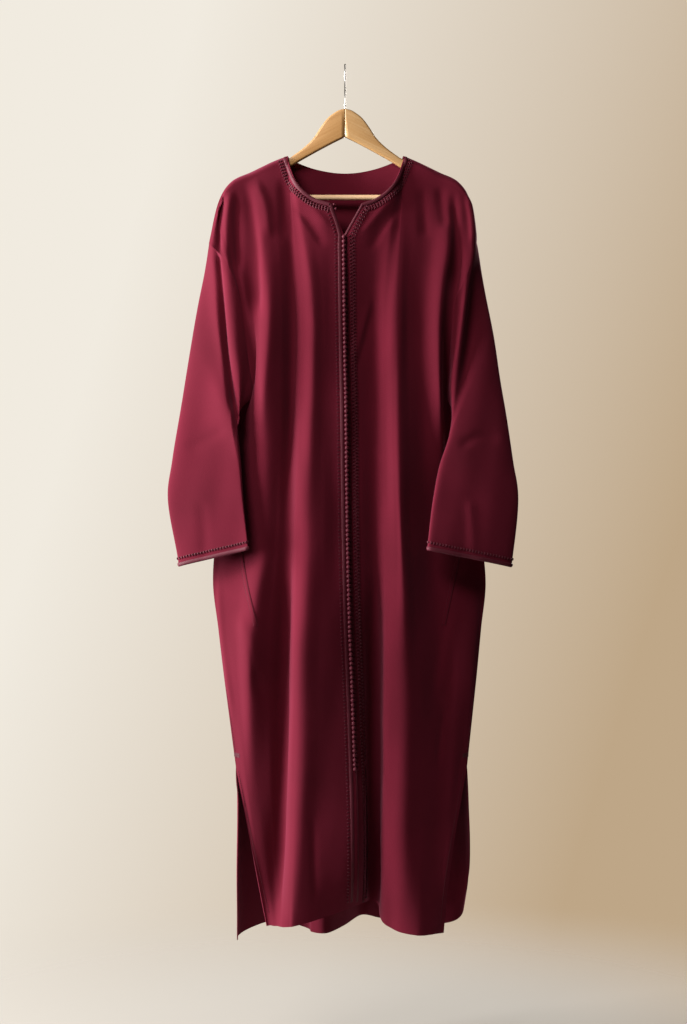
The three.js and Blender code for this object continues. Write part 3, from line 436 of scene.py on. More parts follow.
def woollen_twill(name, shaded, worn):
    """Woollen twill, milled and pressed: a matt face with a bloom of fine fibre that catches side
    light, faint diagonal wales, and colour that is a little uneven over a hand's breadth."""
    made, tree = new_material(name)
    place = add_node(tree, "ShaderNodeTexCoord").outputs["Object"]
    patches = add_node(tree, "ShaderNodeTexNoise", inputs={"Vector": place, "Scale": 9, "Detail": 3})
    # Real wales are about 0.8 mm apart: they are drawn at 2.2 mm, as finer ones don't show.
    wale_scale = DIAGONAL_BANDS / 0.0022
    wales = add_node(
        tree, "ShaderNodeTexWave", {"bands_direction": "DIAGONAL"},
        {"Vector": place, "Scale": wale_scale, "Distortion": 2.5, "Detail": 2, "Detail Scale": 2},
    )
    # Fibre tufts of about 1.5 mm.
    fibre = add_node(tree, "ShaderNodeTexNoise", inputs={"Vector": place, "Scale": 650, "Detail": 3})
    flecks = add_node(
        tree, "ShaderNodeMapRange", inputs={"Value": fibre.outputs["Fac"], "To Min": -0.16, "To Max": 0.16}
    )
    tone = add_node(
        tree, "ShaderNodeMath", {"operation": "ADD", "use_clamp": True},
        {0: patches.outputs["Fac"], 1: flecks.outputs["Result"]},
    )
    colour = add_node(
        tree, "ShaderNodeMix", {"data_type": "RGBA"},
        {0: tone.outputs[0], 6: linear(shaded), 7: linear(worn)},
    )
    relief = add_node(
        tree, "ShaderNodeMath", {"operation": "MULTIPLY_ADD"},
        {0: fibre.outputs["Fac"], 1: 1.4, 2: wales.outputs["Fac"]},
    )
    bump = add_node(
        tree, "ShaderNodeBump", inputs={"Height": relief.outputs[0], "Strength": 0.3, "Distance": 0.0004}
    )
    cloth = add_node(tree, "ShaderNodeBsdfPrincipled", inputs={
        "Base Color": colour.outputs[2], "Roughness": 0.9, "Specular IOR Level": 0.1,
        "Sheen Weight": 0.26, "Sheen Roughness": 0.5, "Sheen Tint": linear("#FF90B2"),
        "Normal": bump.outputs[0],
    })
    add_node(tree, "ShaderNodeOutputMaterial", inputs={"Surface": cloth.outputs[0]})
    return made


wool = woollen_twill("woollen_twill", "#500C1B", "#5F1023")

# Small creases of the panels: height, width to the left and to the right, the path, and in some
# the fade of the ends.
FRONT_LEFT_CREASES = [
    (-10, 8, 7, [(-226, -228), (-230, -262), (-234, -300), (-236, -362)]),
    (4, 7, 9, [(-214, -232), (-219, -296), (-218, -350), (-214, -384)]),
    (-5, 6, 9, [(-202, -222), (-202, -290), (-200, -345), (-196, -395)]),
    (-8, 16, 9, [(-190, -212), (-177, -262), (-168, -330), (-166, -410), (-164, -480)], 0.2),
    (4, 12, 7, [(-170, -206), (-147, -262), (-139, -330)]),
    (-4, 9, 12, [(-117, -205), (-113, -260), (-113, -330)]),
    (1.8, 9, 6, [(-96, -232), (-62, -266), (-22, -312)]),
    (-3, 7, 11, [(-100, -262), (-68, -294), (-36, -346)]),
    (-8, 17, 5, [(-102, -880), (-108, -1066), (-113, -1304), (-118, -1475), (-121, -1620)]),
    (3, 14, 8, [(-196, -1010), (-178, -1066), (-158, -1140)]),
    (-2.5, 10, 7, [(-186, -1040), (-166, -1110), (-150, -1190)]),
    (2, 6, 6, [(-238, -930), (-228, -1070), (-205, -1230)]),
    (-2, 5, 7, [(-60, -1380), (-58, -1470), (-54, -1550)]),
]
FRONT_RIGHT_CREASES = [
    (2.6, 6, 9, [(99, -236), (62, -278), (26, -322)]),
    (-3, 11, 7, [(106, -262), (74, -300), (44, -352)]),
    (-1.8, 4, 8, [(58, -428), (40, -498), (21, -566)]),
    (1.6, 9, 4, [(49, -430), (31, -498), (12, -566)]),
    (-3.5, 12, 9, [(143, -222), (146, -270), (150, -330)]),
    (-4, 9, 9, [(176, -222), (180, -262), (185, -310)]),
    (-8, 11, 8, [(200, -226), (206, -300), (207, -370), (198, -435)]),
    (3.5, 5, 10, [(226, -238), (234, -290), (236, -340)]),
    (-15, 18, 5, [(54, -930), (55, -1066), (57, -1304), (57, -1475), (57, -1640)]),
    (-3, 4, 5, [(5, -335), (5, -434), (8, -620), (10, -769), (12, -917), (16, -1066), (25, -1304)]),
    (2.5, 9, 12, [(206, -1010), (188, -1090), (172, -1190)]),
    (-2, 7, 7, [(190, -1180), (178, -1240), (172, -1310)]),
]
BACK_CREASES = [
    (-6, 9, 9, [(-214, -232), (-224, -290), (-226, -345)]),
    (-6, 9, 9, [(214, -230), (222, -290), (222, -345)]),
    (-4, 12, 10, [(-150, -222), (-146, -300), (-142, -420)]),
    (-4, 10, 12, [(152, -222), (148, -310), (146, -440)]),
    (2.5, 8, 9, [(-92, -226), (-54, -262), (-12, -330)]),
    (2.5, 9, 8, [(92, -226), (56, -264), (16, -340)]),
    (-4, 7, 7, [(-92, -930), (-86, -1100), (-80, -1300), (-72, -1450)]),
    (-4, 7, 7, [(100, -900), (100, -1066), (98, -1304), (92, -1440)]),
    (3, 10, 12, [(-206, -1000), (-180, -1080), (-160, -1180)]),
    (3, 12, 10, [(214, -1010), (190, -1080), (170, -1170)]),
]
UNDERARM_FULLNESS = {-1: 17, 1: 11}  # how far the left and the right side swell below the underarm
FULLNESS_REACH = 24  # width over which the swelling dies away into a panel
CURL_REACH = 14  # width of the free edge that rolls forward below the vent
CURL_SIDEWAYS = 6
CURL_FORWARD = 9


def swollen(grid, side, column):
    """A panel whose side, just below the underarm, swells out behind the sleeve."""
    across = run_across(grid)
    near = np.exp(-(((across - across[:, column, None]) / FULLNESS_REACH) ** 2))
    first = sum(ARMHOLE_PARTS)
    share = np.zeros(len(grid))
    rows = ROW_PARTS[UNDERARM_ROW]
    share[first : first + rows + 1] = np.sin(np.pi * (np.arange(rows + 1) / rows) ** 0.7) ** 1.3
    grid = grid.copy()
    grid[..., 0] += side * UNDERARM_FULLNESS[side] * share[:, None] * near
    return grid


def curled(grid, side, column):
    """A panel whose free edge, below the vent, rolls forward."""
    across = run_across(grid)
    first = sum(ROW_PARTS[:VENT_ROW])
    share = np.zeros(len(grid))
    # The roll is whole a fifth of the way down the vent.
    share[first:] = smoothstep(np.linspace(0, 5, len(grid) - first))
    turn = share[:, None] * np.clip(1 - np.abs(across - across[:, column, None]) / CURL_REACH, 0, 1)
    grid = grid.copy()
    grid[..., 0] -= side * CURL_SIDEWAYS * turn**1.6
    grid[..., 1] -= CURL_FORWARD * turn**1.3
    return grid


def twill_piece(node, plain, near, closed, towards, creases):
    """A wall of creased twill on a plain grid, and its outer face. Where a seam is near, the cloth is
    pressed thin and nothing lifts it."""
    lift = folded(plain, closed, towards, creases) - plain
    grid = plain + lift * smoothstep(near / CREASE_STARTS)[..., None]
    thickness = CLOTH * (PRESSED + (1 - PRESSED) * smoothstep(near / PRESSED_WIDTH))
    made = cloth_object(node + "_cloth", grid, out_of(grid, closed, towards), thickness, closed, wool)
    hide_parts(node)
    return made, grid


def body_panel(name, lines, facing, parts, creases):
    """A panel of the body with its wall, and its outer face."""
    plain = panel_grid(lines, facing, parts)
    for i, line in enumerate(lines):
        if "armhole" in line:
            plain = swollen(plain, -1 if is_left(line) else 1, i * parts)
            if facing > 0 and is_left(line):
                plain = curled(plain, -1, i * parts)
    down, across = run_lengths(plain), run_across(plain)
    near = np.full(plain.shape[:2], np.inf)
    sewn_rows = slice(0, sum(ROW_PARTS[:VENT_ROW]) + 1)
    for i, line in enumerate(lines):
        if "armhole" in line:
            from_seam = np.abs(across - across[:, i * parts, None])
            near[sewn_rows] = np.minimum(near[sewn_rows], from_seam[sewn_rows])
        if shoulder_of(line)[1] is not None:
            reach = slice(max(0, (i - 1) * parts + 1), min(plain.shape[1], (i + 1) * parts))
            near[:, reach] = np.minimum(near[:, reach], down[:, reach])
    return twill_piece(name, plain, near, False, (0, facing, 0), creases)


front_left, left_grid = body_panel("front_left", FRONT_LEFT, -1, FRONT_PARTS, FRONT_LEFT_CREASES)
front_right, right_grid = body_panel(
    "front_right", FRONT_RIGHT, -1, FRONT_PARTS, FRONT_RIGHT_CREASES
)
back, back_grid = body_panel("back", BACK, 1, BACK_PARTS, BACK_CREASES)

# ---- The sleeves -----------------------------------------------------------------------------
# Long straight sleeves of the same twill, set into a dropped armhole. Each hangs as a flattened
# tube from the armhole seam, with a fold down its outer side and its underarm edge on the inner.
# Sections below the armhole: the outer fold and underarm edge as (x, z), the middle of the depth
# and half of it. The last two are the line of the cuff's stitches and its edge.
SLEEVE_LEFT = [
    dict(outer=(-267, -400), inner=(-194, -642), middle=-12, half=23),
    dict(outer=(-286, -508), inner=(-199, -686), middle=-16, half=22),
    dict(outer=(-305, -620), inner=(-194, -740), middle=-14, half=24),
    dict(outer=(-322, -732), inner=(-189, -796), middle=-21, half=23),
    dict(outer=(-331, -806), inner=(-184, -842), middle=-26, half=21),
    dict(outer=(-312, -916), inner=(-179, -885), middle=-32, half=20),
    dict(outer=(-309, -930), inner=(-178, -899), middle=-33, half=20),
]
SLEEVE_RIGHT = [
    dict(outer=(258, -400), inner=(198, -640), middle=-6, half=25),
    dict(outer=(277, -508), inner=(192, -690), middle=-16, half=23),
    dict(outer=(294, -620), inner=(174, -745), middle=-24, half=24),
    dict(outer=(311, -732), inner=(164, -796), middle=-33, half=22),
    dict(outer=(320, -806), inner=(157, -842), middle=-39, half=20),
    dict(outer=(309, -916), inner=(152, -885), middle=-45, half=19),
    dict(outer=(306, -930), inner=(151, -899), middle=-46, half=19),
]
SLEEVE_PARTS = [14, 18, 18, 18, 12, 18, 4]
SLEEVE_LEFT_CREASES = [
    (8, 32, 5, [(-243, -380), (-239, -434), (-231, -490), (-225, -531), (-211, -644), (-192, -780)], 0.35),
    (-9, 5, 6, [(-239, -330), (-231, -434), (-223, -527), (-215, -592), (-205, -650)], 0.1),
    (3.5, 9, 12, [(-218, -350), (-214, -434), (-205, -527), (-193, -590)]),
    (-1.2, 9, 9, [(-300, -716), (-255, -694), (-215, -674)]),
    (-1.4, 12, 9, [(-268, -800), (-262, -850), (-258, -925)]),
]
SLEEVE_RIGHT_CREASES = [
    (4, 5, 12, [(228, -380), (214, -497), (199, -592), (190, -660)]),
    (-4, 8, 9, [(246, -360), (236, -430), (226, -520), (214, -610)]),
    (-2, 9, 9, [(290, -700), (250, -690), (205, -712)]),
    (2, 8, 10, [(228, -800), (232, -850), (234, -915)]),
]
# The crest of a sleeve's front lies near its underarm edge, and its outer fold swings back from
# there. LEAN is how strongly the crest is drawn in, SWING how far back each side's fold goes.
LEAN = 2.6
SWING = {-1: 36, 1: 14}


def sleeve(name, sections, front_edge, back_edge, side, creases):
    """A sleeve whose first ring is the armhole's own edge, so no gap shows at the seam."""
    rows = sum(ARMHOLE_PARTS)
    place = spans(ARMHOLE_PARTS)
    ring = np.concatenate([front_edge[: rows + 1], back_edge[rows - 1 : 0 : -1]])
    around = np.concatenate([place, 2 * UNDERARM_ROW - place[rows - 1 : 0 : -1]])
    angle = np.pi * around / UNDERARM_ROW
    towards = (1 + np.cos(angle)) / 2
    leaning = np.where(angle < np.pi, towards**LEAN, towards)
    rings = [ring]
    for section in sections:
        outer, inner = np.array(section["outer"]), np.array(section["inner"])
        x, z = (inner + (outer - inner) * leaning[:, None]).T
        middle = section["middle"] + SWING[side] * towards
        rings.append(np.column_stack([x, middle - section["half"] * np.sin(angle), z]))
    plain = smooth_at(range(len(rings)), np.array(rings), spans(SLEEVE_PARTS))
    return twill_piece(name, plain, run_lengths(plain), True, (side, 0, 0), creases)


sleeve_left, sleeve_left_grid = sleeve(
    "sleeve_left", SLEEVE_LEFT, left_grid[:, -1], back_grid[:, 0], -1, SLEEVE_LEFT_CREASES
)
sleeve_right, sleeve_right_grid = sleeve(
    "sleeve_right", SLEEVE_RIGHT, right_grid[:, -1], back_grid[:, -1], 1, SLEEVE_RIGHT_CREASES
)

# ---- Braid round the neck, slit and cuffs ------------------------------------------------------
# Hand-made braid of shiny thread in the cloth's colour: a rolled edge, and beside it a chain of
# crossed stitches worked through the cloth. It runs round the neck and down both fronts.
ROLL_WIDTH = 7
NECK_ROLL = {"half_width": ROLL_WIDTH / 2, "rise": 1.3, "lift": 0.6}
CORD_STEP = 3  # spacing of the points that a cord is drawn through
LAID_STEPS = 12  # points drawn for each point of a path on the cloth
FINE_STEP = 2.0  # spacing at which a path is first laid on the cloth
RAY_START = 1000  # well clear of the cloth
CHAIN_PITCH = 5.6  # real stitches are about 4 mm apart: finer ones don't show
CHAIN_LIFT = 0.9  # height of its stitches above the cloth
CHAIN_SLANT = 0.8  # angle between a stitch and the chain, in radians
THREAD = 1.15  # radius of a plump stitch
NECK_CORNER = FRONT_PARTS  # column of the corner between the slit and the neckline
NECK_POINT = 5 * FRONT_PARTS
BACK_NECK = slice(5 * BACK_PARTS, 11 * BACK_PARTS + 1)


def braid_thread(name, shaded, worn):
    """Twisted silk-like thread: a little smoother than the twill, so each stitch shows a soft light."""
    made, tree = new_material(name)
    place = add_node(tree, "ShaderNodeTexCoord").outputs["Object"]
    # Plies of about 0.9 mm, drawn at 1.6 mm as finer ones don't show.
    plies = add_node(
        tree, "ShaderNodeTexWave", {"bands_direction": "DIAGONAL"},
        {"Vector": place, "Scale": DIAGONAL_BANDS / 0.0016, "Distortion": 4, "Detail": 2},
    )
    patches = add_node(tree, "ShaderNodeTexNoise", inputs={"Vector": place, "Scale": 60, "Detail": 3})
    colour = add_node(
        tree, "ShaderNodeMix", {"data_type": "RGBA"},
        {0: patches.outputs["Fac"], 6: linear(shaded), 7: linear(worn)},
    )
    bump = add_node(
        tree, "ShaderNodeBump",
        inputs={"Height": plies.outputs["Fac"], "Strength": 0.35, "Distance": 0.0003},
    )
    thread = add_node(tree, "ShaderNodeBsdfPrincipled", inputs={
        "Base Color": colour.outputs[2], "Roughness": 0.62, "Specular IOR Level": 0.27,
        "Sheen Weight": 0.06, "Sheen Roughness": 0.4, "Sheen Tint": linear("#FF90B2"),
        "Normal": bump.outputs[0],
    })
    add_node(tree, "ShaderNodeOutputMaterial", inputs={"Surface": thread.outputs[0]})
    return made


braid = braid_thread("silk_braid", "#440D1A", "#5B1829")


def cloth_finder(grid):
    """Finds places on the face of a grid."""
    faces = quads_of(*grid.shape[:2], False)[1]
    return BVHTree.FromPolygons(grid.reshape(-1, 3).tolist(), faces.tolist())


left_face, right_face, back_face = (cloth_finder(grid) for grid in (left_grid, right_grid, back_grid))


def unit(vectors):
    return vectors / np.maximum(np.linalg.norm(vectors, axis=-1, keepdims=True), 1e-9)


def along_run(places, lengths, run):
    """Points at places along a run of points, whose own lengths along it are given."""
    return np.column_stack([np.interp(places, lengths, run[:, k]) for k in range(run.shape[1])])


def laid_on(face, path, every, facing=-1, smooth=True):
    """Evenly spaced points on the cloth behind a path of (x, z), the way out there, and the way
    along. facing is -1 in front and 1 behind."""
    path = smooth_path(path, LAID_STEPS) if smooth else np.array(path, float)
    lengths = run_lengths(path)
    fine = np.arange(0, lengths[-1], min(every, FINE_STEP))
    points, outs = [], []
    for x, z in along_run(fine, lengths, path):
        spot, normal, _, _ = face.ray_cast((x, facing * RAY_START, z), (0, -facing, 0))
        if spot is None:
            spot, normal, _, _ = face.find_nearest((x, points[-1][1] if points else 0, z))
        points.append(spot[:])
        outs.append(normal[:] if normal.y * facing > 0 else (-normal)[:])
    points, outs = np.array(points), np.array(outs)
    lengths = run_lengths(points)
    even = np.arange(0, lengths[-1] + 0.01, every)
    points, outs = along_run(even, lengths, points), unit(along_run(even, lengths, outs))
    return points, outs, unit(np.gradient(points, axis=0))


def capped(index, faces):
    """The faces of a run of closed rings, with a cap on both of its ends."""
    return faces.tolist() + [index[0, :-1].tolist(), index[-1, -2::-1].tolist()]


def cord_along(points, outs, half_width, rise, lift=0.0, sides=10, closed=False):
    """Vertices and faces of a cord with an oval section."""
    if closed:
        ways = unit(np.roll(points, -1, axis=0) - np.roll(points, 1, axis=0))
    else:
        ways = unit(np.gradient(points, axis=0))
    sideways = unit(np.cross(ways, outs))
    angle = np.linspace(0, 2 * np.pi, sides, endpoint=False)[:, None]
    width = np.broadcast_to(half_width, len(points))[:, None, None]
    ring = width * np.cos(angle) * sideways[:, None] + (lift + rise * np.sin(angle)) * outs[:, None]
    index, faces = quads_of(len(points), sides, True)
    if closed:
        joined = np.stack([index[-1, :-1], index[0, :-1], index[0, 1:], index[-1, 1:]], axis=1)
        faces = faces.tolist() + joined.tolist()
    else:
        faces = capped(index, faces)
    return (points[:, None] + ring).reshape(-1, 3), faces


def cord_on(face, path, facing=-1, **section):
    """Vertices and faces of a cord that lies on the cloth along a path of (x, z)."""
    points, outs, _ = laid_on(face, path, CORD_STEP, facing)
    return cord_along(points, outs, **section)


STITCH_RINGS = [(-0.5, 0.35), (-0.22, 1), (0.22, 1), (0.5, 0.35)]  # along a stitch, and its radius there
STITCH_SIDES = 5


def stitches(centres, ways, outs, length, radius=THREAD):
    """Vertices and faces of short plump stitches of thread."""
    sideways = unit(np.cross(ways, outs))
    angle = np.linspace(0, 2 * np.pi, STITCH_SIDES, endpoint=False)
    rings = []
    for along, share in STITCH_RINGS:
        for a in angle:
            spoke = np.cos(a) * sideways + np.sin(a) * outs
            rings.append(centres + ways * along * length + radius * share * spoke)
    vertices = np.stack(rings, axis=1).reshape(-1, 3)
    one = capped(*quads_of(len(STITCH_RINGS), STITCH_SIDES, True))
    size = len(rings)
    return vertices, [[corner + k * size for corner in face] for k in range(len(centres)) for face in one]


def chain(points, outs, ways, half_width=2.0, length=4.8):
    """A chain of crossed stitches along a laid path: two slanting stitches for each of its points."""
    sideways = unit(np.cross(ways, outs))
    middle = points + outs * CHAIN_LIFT
    made = []
    for hand in (-1, 1):
        leg = unit(ways * math.cos(CHAIN_SLANT) + sideways * hand * math.sin(CHAIN_SLANT))
        made.append(stitches(middle + sideways * hand * half_width / 2, leg, outs, length))
    return made


def sewn_piece(name, parts, material, slot, *nodes):
    """One piece made of several meshes."""
    vertices, faces, first = [], [], 0
    for part_vertices, part_faces in parts:
        vertices.append(part_vertices)
        faces += [[corner + first for corner in face] for face in part_faces]
        first += len(part_vertices)
    made = piece_from(name, np.concatenate(vertices), faces, material)
    if nodes:
        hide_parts(*nodes)
    return made


def beside(edge, distance, hand):
    """The path of (x, z) at a distance into the cloth from an edge. hand is 1 where the cloth lies on
    the right of someone who walks along the edge."""
    edge = np.asarray(edge)
    distance = np.broadcast_to(distance, len(edge))
    way = unit(np.gradient(edge, axis=0))
    path = edge + hand * distance[:, None] * np.column_stack([way[:, 1], -way[:, 0]])
    gaps = np.linalg.norm(path[:, None] - edge[None], axis=2).min(axis=1)
    # In a tight bend the path would cross itself, so points too near the edge are left out.
    return path[gaps > 0.96 * distance]


def below_shoulder(path, below):
    """The part of a path that stays at least so far below the shoulder seams."""
    for table in (SHOULDER_LEFT, SHOULDER_RIGHT):
        table = np.array(table)[np.argsort(np.array(table)[:, 0])]
        path = path[path[:, 1] < np.interp(path[:, 0], table[:, 0], table[:, 1]) - below]
    return path


FRONTS = (("left", -1, left_grid, left_face), ("right", 1, right_grid, right_face))
NECK_CHAINS = (10.6, 14.6)  # the two chains round the neck, from the edge
ROLL_ENDS = 1.5  # how far below the shoulder seam the rolled edge ends
CHAIN_ENDS = 5
for side, sign, grid, face in FRONTS:
    neck = grid[0, NECK_CORNER : NECK_POINT + 1, [0, 2]].T[::-1]
    roll = below_shoulder(beside(neck, ROLL_WIDTH / 2, -sign), ROLL_ENDS)
    parts = [cord_on(face, roll, **NECK_ROLL)]
    for distance in NECK_CHAINS:
        path = below_shoulder(beside(neck, distance, -sign), CHAIN_ENDS)
        parts += chain(*laid_on(face, path, CHAIN_PITCH))
    sewn_piece("neck_braid_" + side, parts, braid, "braid", "neck_trim_" + side)
neck = back_grid[0, BACK_NECK, [0, 2]].T
parts = [cord_on(back_face, beside(neck, ROLL_WIDTH / 2, 1), 1, **NECK_ROLL)]
for distance in NECK_CHAINS:
    path = below_shoulder(beside(neck, distance, 1), CHAIN_ENDS)
    parts += chain(*laid_on(back_face, path, CHAIN_PITCH, 1))
sewn_piece("neck_braid_back", parts, braid, "braid", "neck_trim_back")

# Down the left front a smooth rolled strip with one dotted row beside it, and down the right
# front, past a narrow gap, a dense band of two chains. Each runs at one distance from the edge
# beside the slit and at another below it.
LEFT_ROLL = {"half_width": 3.4, "rise": 1.0, "lift": 0.1}
LEFT_ROLL_INSET = (ROLL_WIDTH / 2, 7.9)
DOTS_PITCH = 6.4
DOTS_INSET = (12.6, 15.8)
DOTS_LIFT = 0.2
DOT = {"length": 4.6, "radius": 1.3}
RIGHT_CORD = {"half_width": 2.2, "rise": 0.8, "lift": 0.2}
RIGHT_CORD_INSET = (2.2, 2.6)
BAND_INSETS = ((9.4, 13.4), (14.6, 18.8))
BAND_PITCH = 6.2
FIRST_BUTTON = OPENING["top"][2]
INSET_CHANGES = 35  # height above the first button where the distance begins to change
INSET_CHANGE_RUN = 50


def opening_path(grid, hand, at_slit, below):
    """A path from the corner of the neck along the slit, then down the front, to just above the hem."""
    slit = grid[0, : NECK_CORNER + 1, [0, 2]].T[::-1]
    edge = np.concatenate([slit, grid[1:-1, 0][:, [0, 2]]])
    share = smoothstep((FIRST_BUTTON + INSET_CHANGES - edge[:, 1]) / INSET_CHANGE_RUN)
    return beside(edge, at_slit + (below - at_slit) * share, hand)


parts = [cord_on(left_face, opening_path(left_grid, 1, *LEFT_ROLL_INSET), **LEFT_ROLL)]
points, outs, ways = laid_on(left_face, opening_path(left_grid, 1, *DOTS_INSET), DOTS_PITCH)
parts.append(stitches(points + DOTS_LIFT * outs, unit(np.cross(ways, outs)), outs, **DOT))
sewn_piece("front_band_left", parts, braid, "braid", "front_trim_left")
parts = [cord_on(right_face, opening_path(right_grid, -1, *RIGHT_CORD_INSET), **RIGHT_CORD)]
for inset in BAND_INSETS:
    path = opening_path(right_grid, -1, *inset)
    parts += chain(*laid_on(right_face, path, BAND_PITCH), half_width=2.4, length=5.6)
sewn_piece("front_band_right", parts, braid, "braid", "front_trim_right")


def line_above(grid, height):
    """The line of points at a height along the cloth above a grid's last row."""
    up = run_lengths(grid[::-1])
    return np.array([along_run(height, up[:, c], grid[::-1, c])[0] for c in range(grid.shape[1])])


def even_ring(points, outs, every):
    """Evenly spaced points round a closed ring."""
    points, outs = np.vstack([points, points[:1]]), np.vstack([outs, outs[:1]])
    lengths = run_lengths(points)
    even = np.linspace(0, lengths[-1], int(lengths[-1] / every), endpoint=False)
    points, outs = along_run(even, lengths, points), along_run(even, lengths, outs)
    ways = unit(np.roll(points, -1, axis=0) - np.roll(points, 1, axis=0))
    return points, unit(outs), ways


CUFF_ROLL = {"half_width": 3.9, "rise": 1.9, "lift": 0.3}
CUFF_ROLL_ROW = 2.6  # height of the rolled edge's middle above the cuff's edge
CUFF_ROW = 14  # height of the cuff's row of stitches
for side, sign, grid in (("left", -1, sleeve_left_grid), ("right", 1, sleeve_right_grid)):
    out = out_of(grid, True, (sign, 0, 0))
    points, outs, _ = even_ring(line_above(grid, CUFF_ROLL_ROW), out[-1], CORD_STEP)
    parts = [cord_along(points, outs, closed=True, **CUFF_ROLL)]
    # The fourth row from the cuff's edge lies beside its stitches.
    stitched_ring = even_ring(line_above(grid, CUFF_ROW), out[-4], CHAIN_PITCH)
    parts += chain(*stitched_ring, half_width=1.7, length=4)
    sewn_piece("cuff_braid_" + side, parts, braid, "braid", "cuff_trim_" + side)

# ---- Knot buttons ------------------------------------------------------------------------------
# A close row of small balls knotted from the same thread, sewn down the front opening, each held
# by a cord loop that comes across from the right front.
BUTTON_PITCH = 8.45
BUTTON_COUNT = 117
BUTTON_RADIUS = 4.1
BUTTON_STAND = 4.4  # height of a button's middle above the cloth
LOOP_REACH = 6.5
LOOP_MIDDLE = (LOOP_REACH / 2 + 1.5, 3.2, -0.6)  # from a button's middle to the middle of its loop
LOOP_WAY = (1.0, 0.25, 0.08)
LOOP_SPREAD = 1.3  # half the distance between the two cords of a loop
LOOP_RADIUS = 0.6
KNOT_TURN = 2.4  # turn from one knot to the next, in radians, so that no two look alike
KNOT_RINGS, KNOT_SIDES = 9, 16
KNOT_POLE = 0.12  # how far from its poles a knot's first and last ring lie, in radians


def knot(centre, radius, turn):
    """Vertices and faces of a knotted ball: a sphere with the thread's crossing turns raised on it."""
    tilt = np.linspace(KNOT_POLE, math.pi - KNOT_POLE, KNOT_RINGS)[:, None]
    angle = np.linspace(0, 2 * math.pi, KNOT_SIDES, endpoint=False)[None] + turn
    turns = 0.1 * np.cos(4 * angle + 3 * tilt) * np.cos(3 * angle - 4 * tilt)
    r = radius * (0.95 + turns)
    x, y, z = r * np.sin(tilt) * np.cos(angle), r * np.sin(tilt) * np.sin(angle), 0.92 * r * np.cos(tilt)
    ball = np.stack([x, y, z], axis=-1)
    return ball.reshape(-1, 3) + centre, capped(*quads_of(KNOT_RINGS, KNOT_SIDES, True))


parts, loops = [], []
for k in range(BUTTON_COUNT):
    z = FIRST_BUTTON - BUTTON_RADIUS - k * BUTTON_PITCH
    on_left, on_right = (along_run(-z, -grid[:, 0, 2], grid[:, 0])[0] for grid in (left_grid, right_grid))
    centre = (on_left + on_right) / 2 + np.array([0, -BUTTON_STAND, 0])
    parts.append(knot(centre, BUTTON_RADIUS, KNOT_TURN * k))
    loops.append(centre + np.array(LOOP_MIDDLE))
loops = np.array(loops)
forwards = np.tile((0, -1.0, 0), (BUTTON_COUNT, 1))
across = unit(np.tile(LOOP_WAY, (BUTTON_COUNT, 1)))
for drop in (-LOOP_SPREAD, LOOP_SPREAD):
    parts.append(stitches(loops + np.array([0, 0, drop]), across, forwards, LOOP_REACH, LOOP_RADIUS))
# The cord that the buttons are threaded on.
threaded = loops - np.array([LOOP_MIDDLE[0], 0, 0])
parts.append(cord_along(threaded, forwards, 1.2, 1.0, sides=6))
sewn_piece("knot_buttons", parts, braid, "braid", "button_row")

# ---- Spare knots -------------------------------------------------------------------------------
# Two spare knots hang by a short thread from the left edge of the slit.
for name in ("loose_knot_upper", "loose_knot_lower"):
    low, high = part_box(name)
    centre = np.array([(a + b) / 2 / MM for a, b in zip(low, high)])
    radius = (high[0] - low[0]) / 2 / MM
    parts = [knot(centre, radius, centre[2])]
    parts.append(stitches(
        centre[None] - np.array([[radius, 0, -0.6]]), np.array([[1.0, 0, -0.2]]), np.array([[0, -1.0, 0]]),
        2 * radius, 0.6,
    ))
    sewn_piece(name + "_thread", parts, braid, "braid", name)

# ---- Slanted side pockets ------------------------------------------------------------------------
# Each mouth is finished with a narrow folded welt of twill and two rows of topstitching.
POCKET_LEFT = [(-190, -905), (-186, -930), (-179, -965), (-170, -1002), (-160, -1040)]
POCKET_RIGHT = [(208, -905), (203, -930), (195, -965), (187, -1002), (179, -1040)]
WELT_WIDTH = 8
WELT = {"half_width": WELT_WIDTH / 2, "rise": 0.9, "lift": 0.3, "sides": 12}
WELT_STITCHES_INSET = 0.8
WELT_STITCHES_LIFT = 0.9
TOPSTITCH_PITCH = 4.2
TOPSTITCH = {"length": 3.1, "radius": 0.5}
for side, sign, face, mouth in (
    ("left", -1, left_face, POCKET_LEFT), ("right", 1, right_face, POCKET_RIGHT),
):
    middle = np.array(mouth) + np.array([sign * WELT_WIDTH / 2, 0])
    parts = [cord_on(face, middle, **WELT)]
    sewn_piece("pocket_welt_%s_cloth" % side, parts, wool, "wool", "pocket_welt_" + side)
    rows = []
    for inset in (WELT_STITCHES_INSET, WELT_WIDTH - WELT_STITCHES_INSET):
        row = np.array(mouth) + np.array([sign * inset, 0])
        points, outs, ways = laid_on(face, row, TOPSTITCH_PITCH)
        rows.append(stitches(points + outs * WELT_STITCHES_LIFT, ways, outs, **TOPSTITCH))
    sewn_piece("pocket_stitches_" + side, rows, braid, "braid")

# ---- Seam stitching ------------------------------------------------------------------------------
# Rows of topstitching in matching thread: beside the lower end of the side seams, along the vents
# and the back hem, and a bar of close stitches above each vent, where the seam would otherwise tear.
SEAM_INSET = 8
VENT_INSET = 9
HEM_INSET = 20
HEM_ENDS = 8  # columns of points left free at each end of the hem's stitches
ROW_ENDS = 3  # rows of points left free at each end of a vent's stitches
SIDE_ROWS = 22  # rows of points above a vent that have a line of stitches beside the seam
TOPSTITCH_LIFT = 0.25
BAR_TACK = {"rows": 5, "length": 11, "pitch": 1.6, "drop": 2, "inset": 2, "rows_above_vent": 4}
BAR_THREAD = {"pitch": 1.5, "length": 2.2, "radius": 0.6}


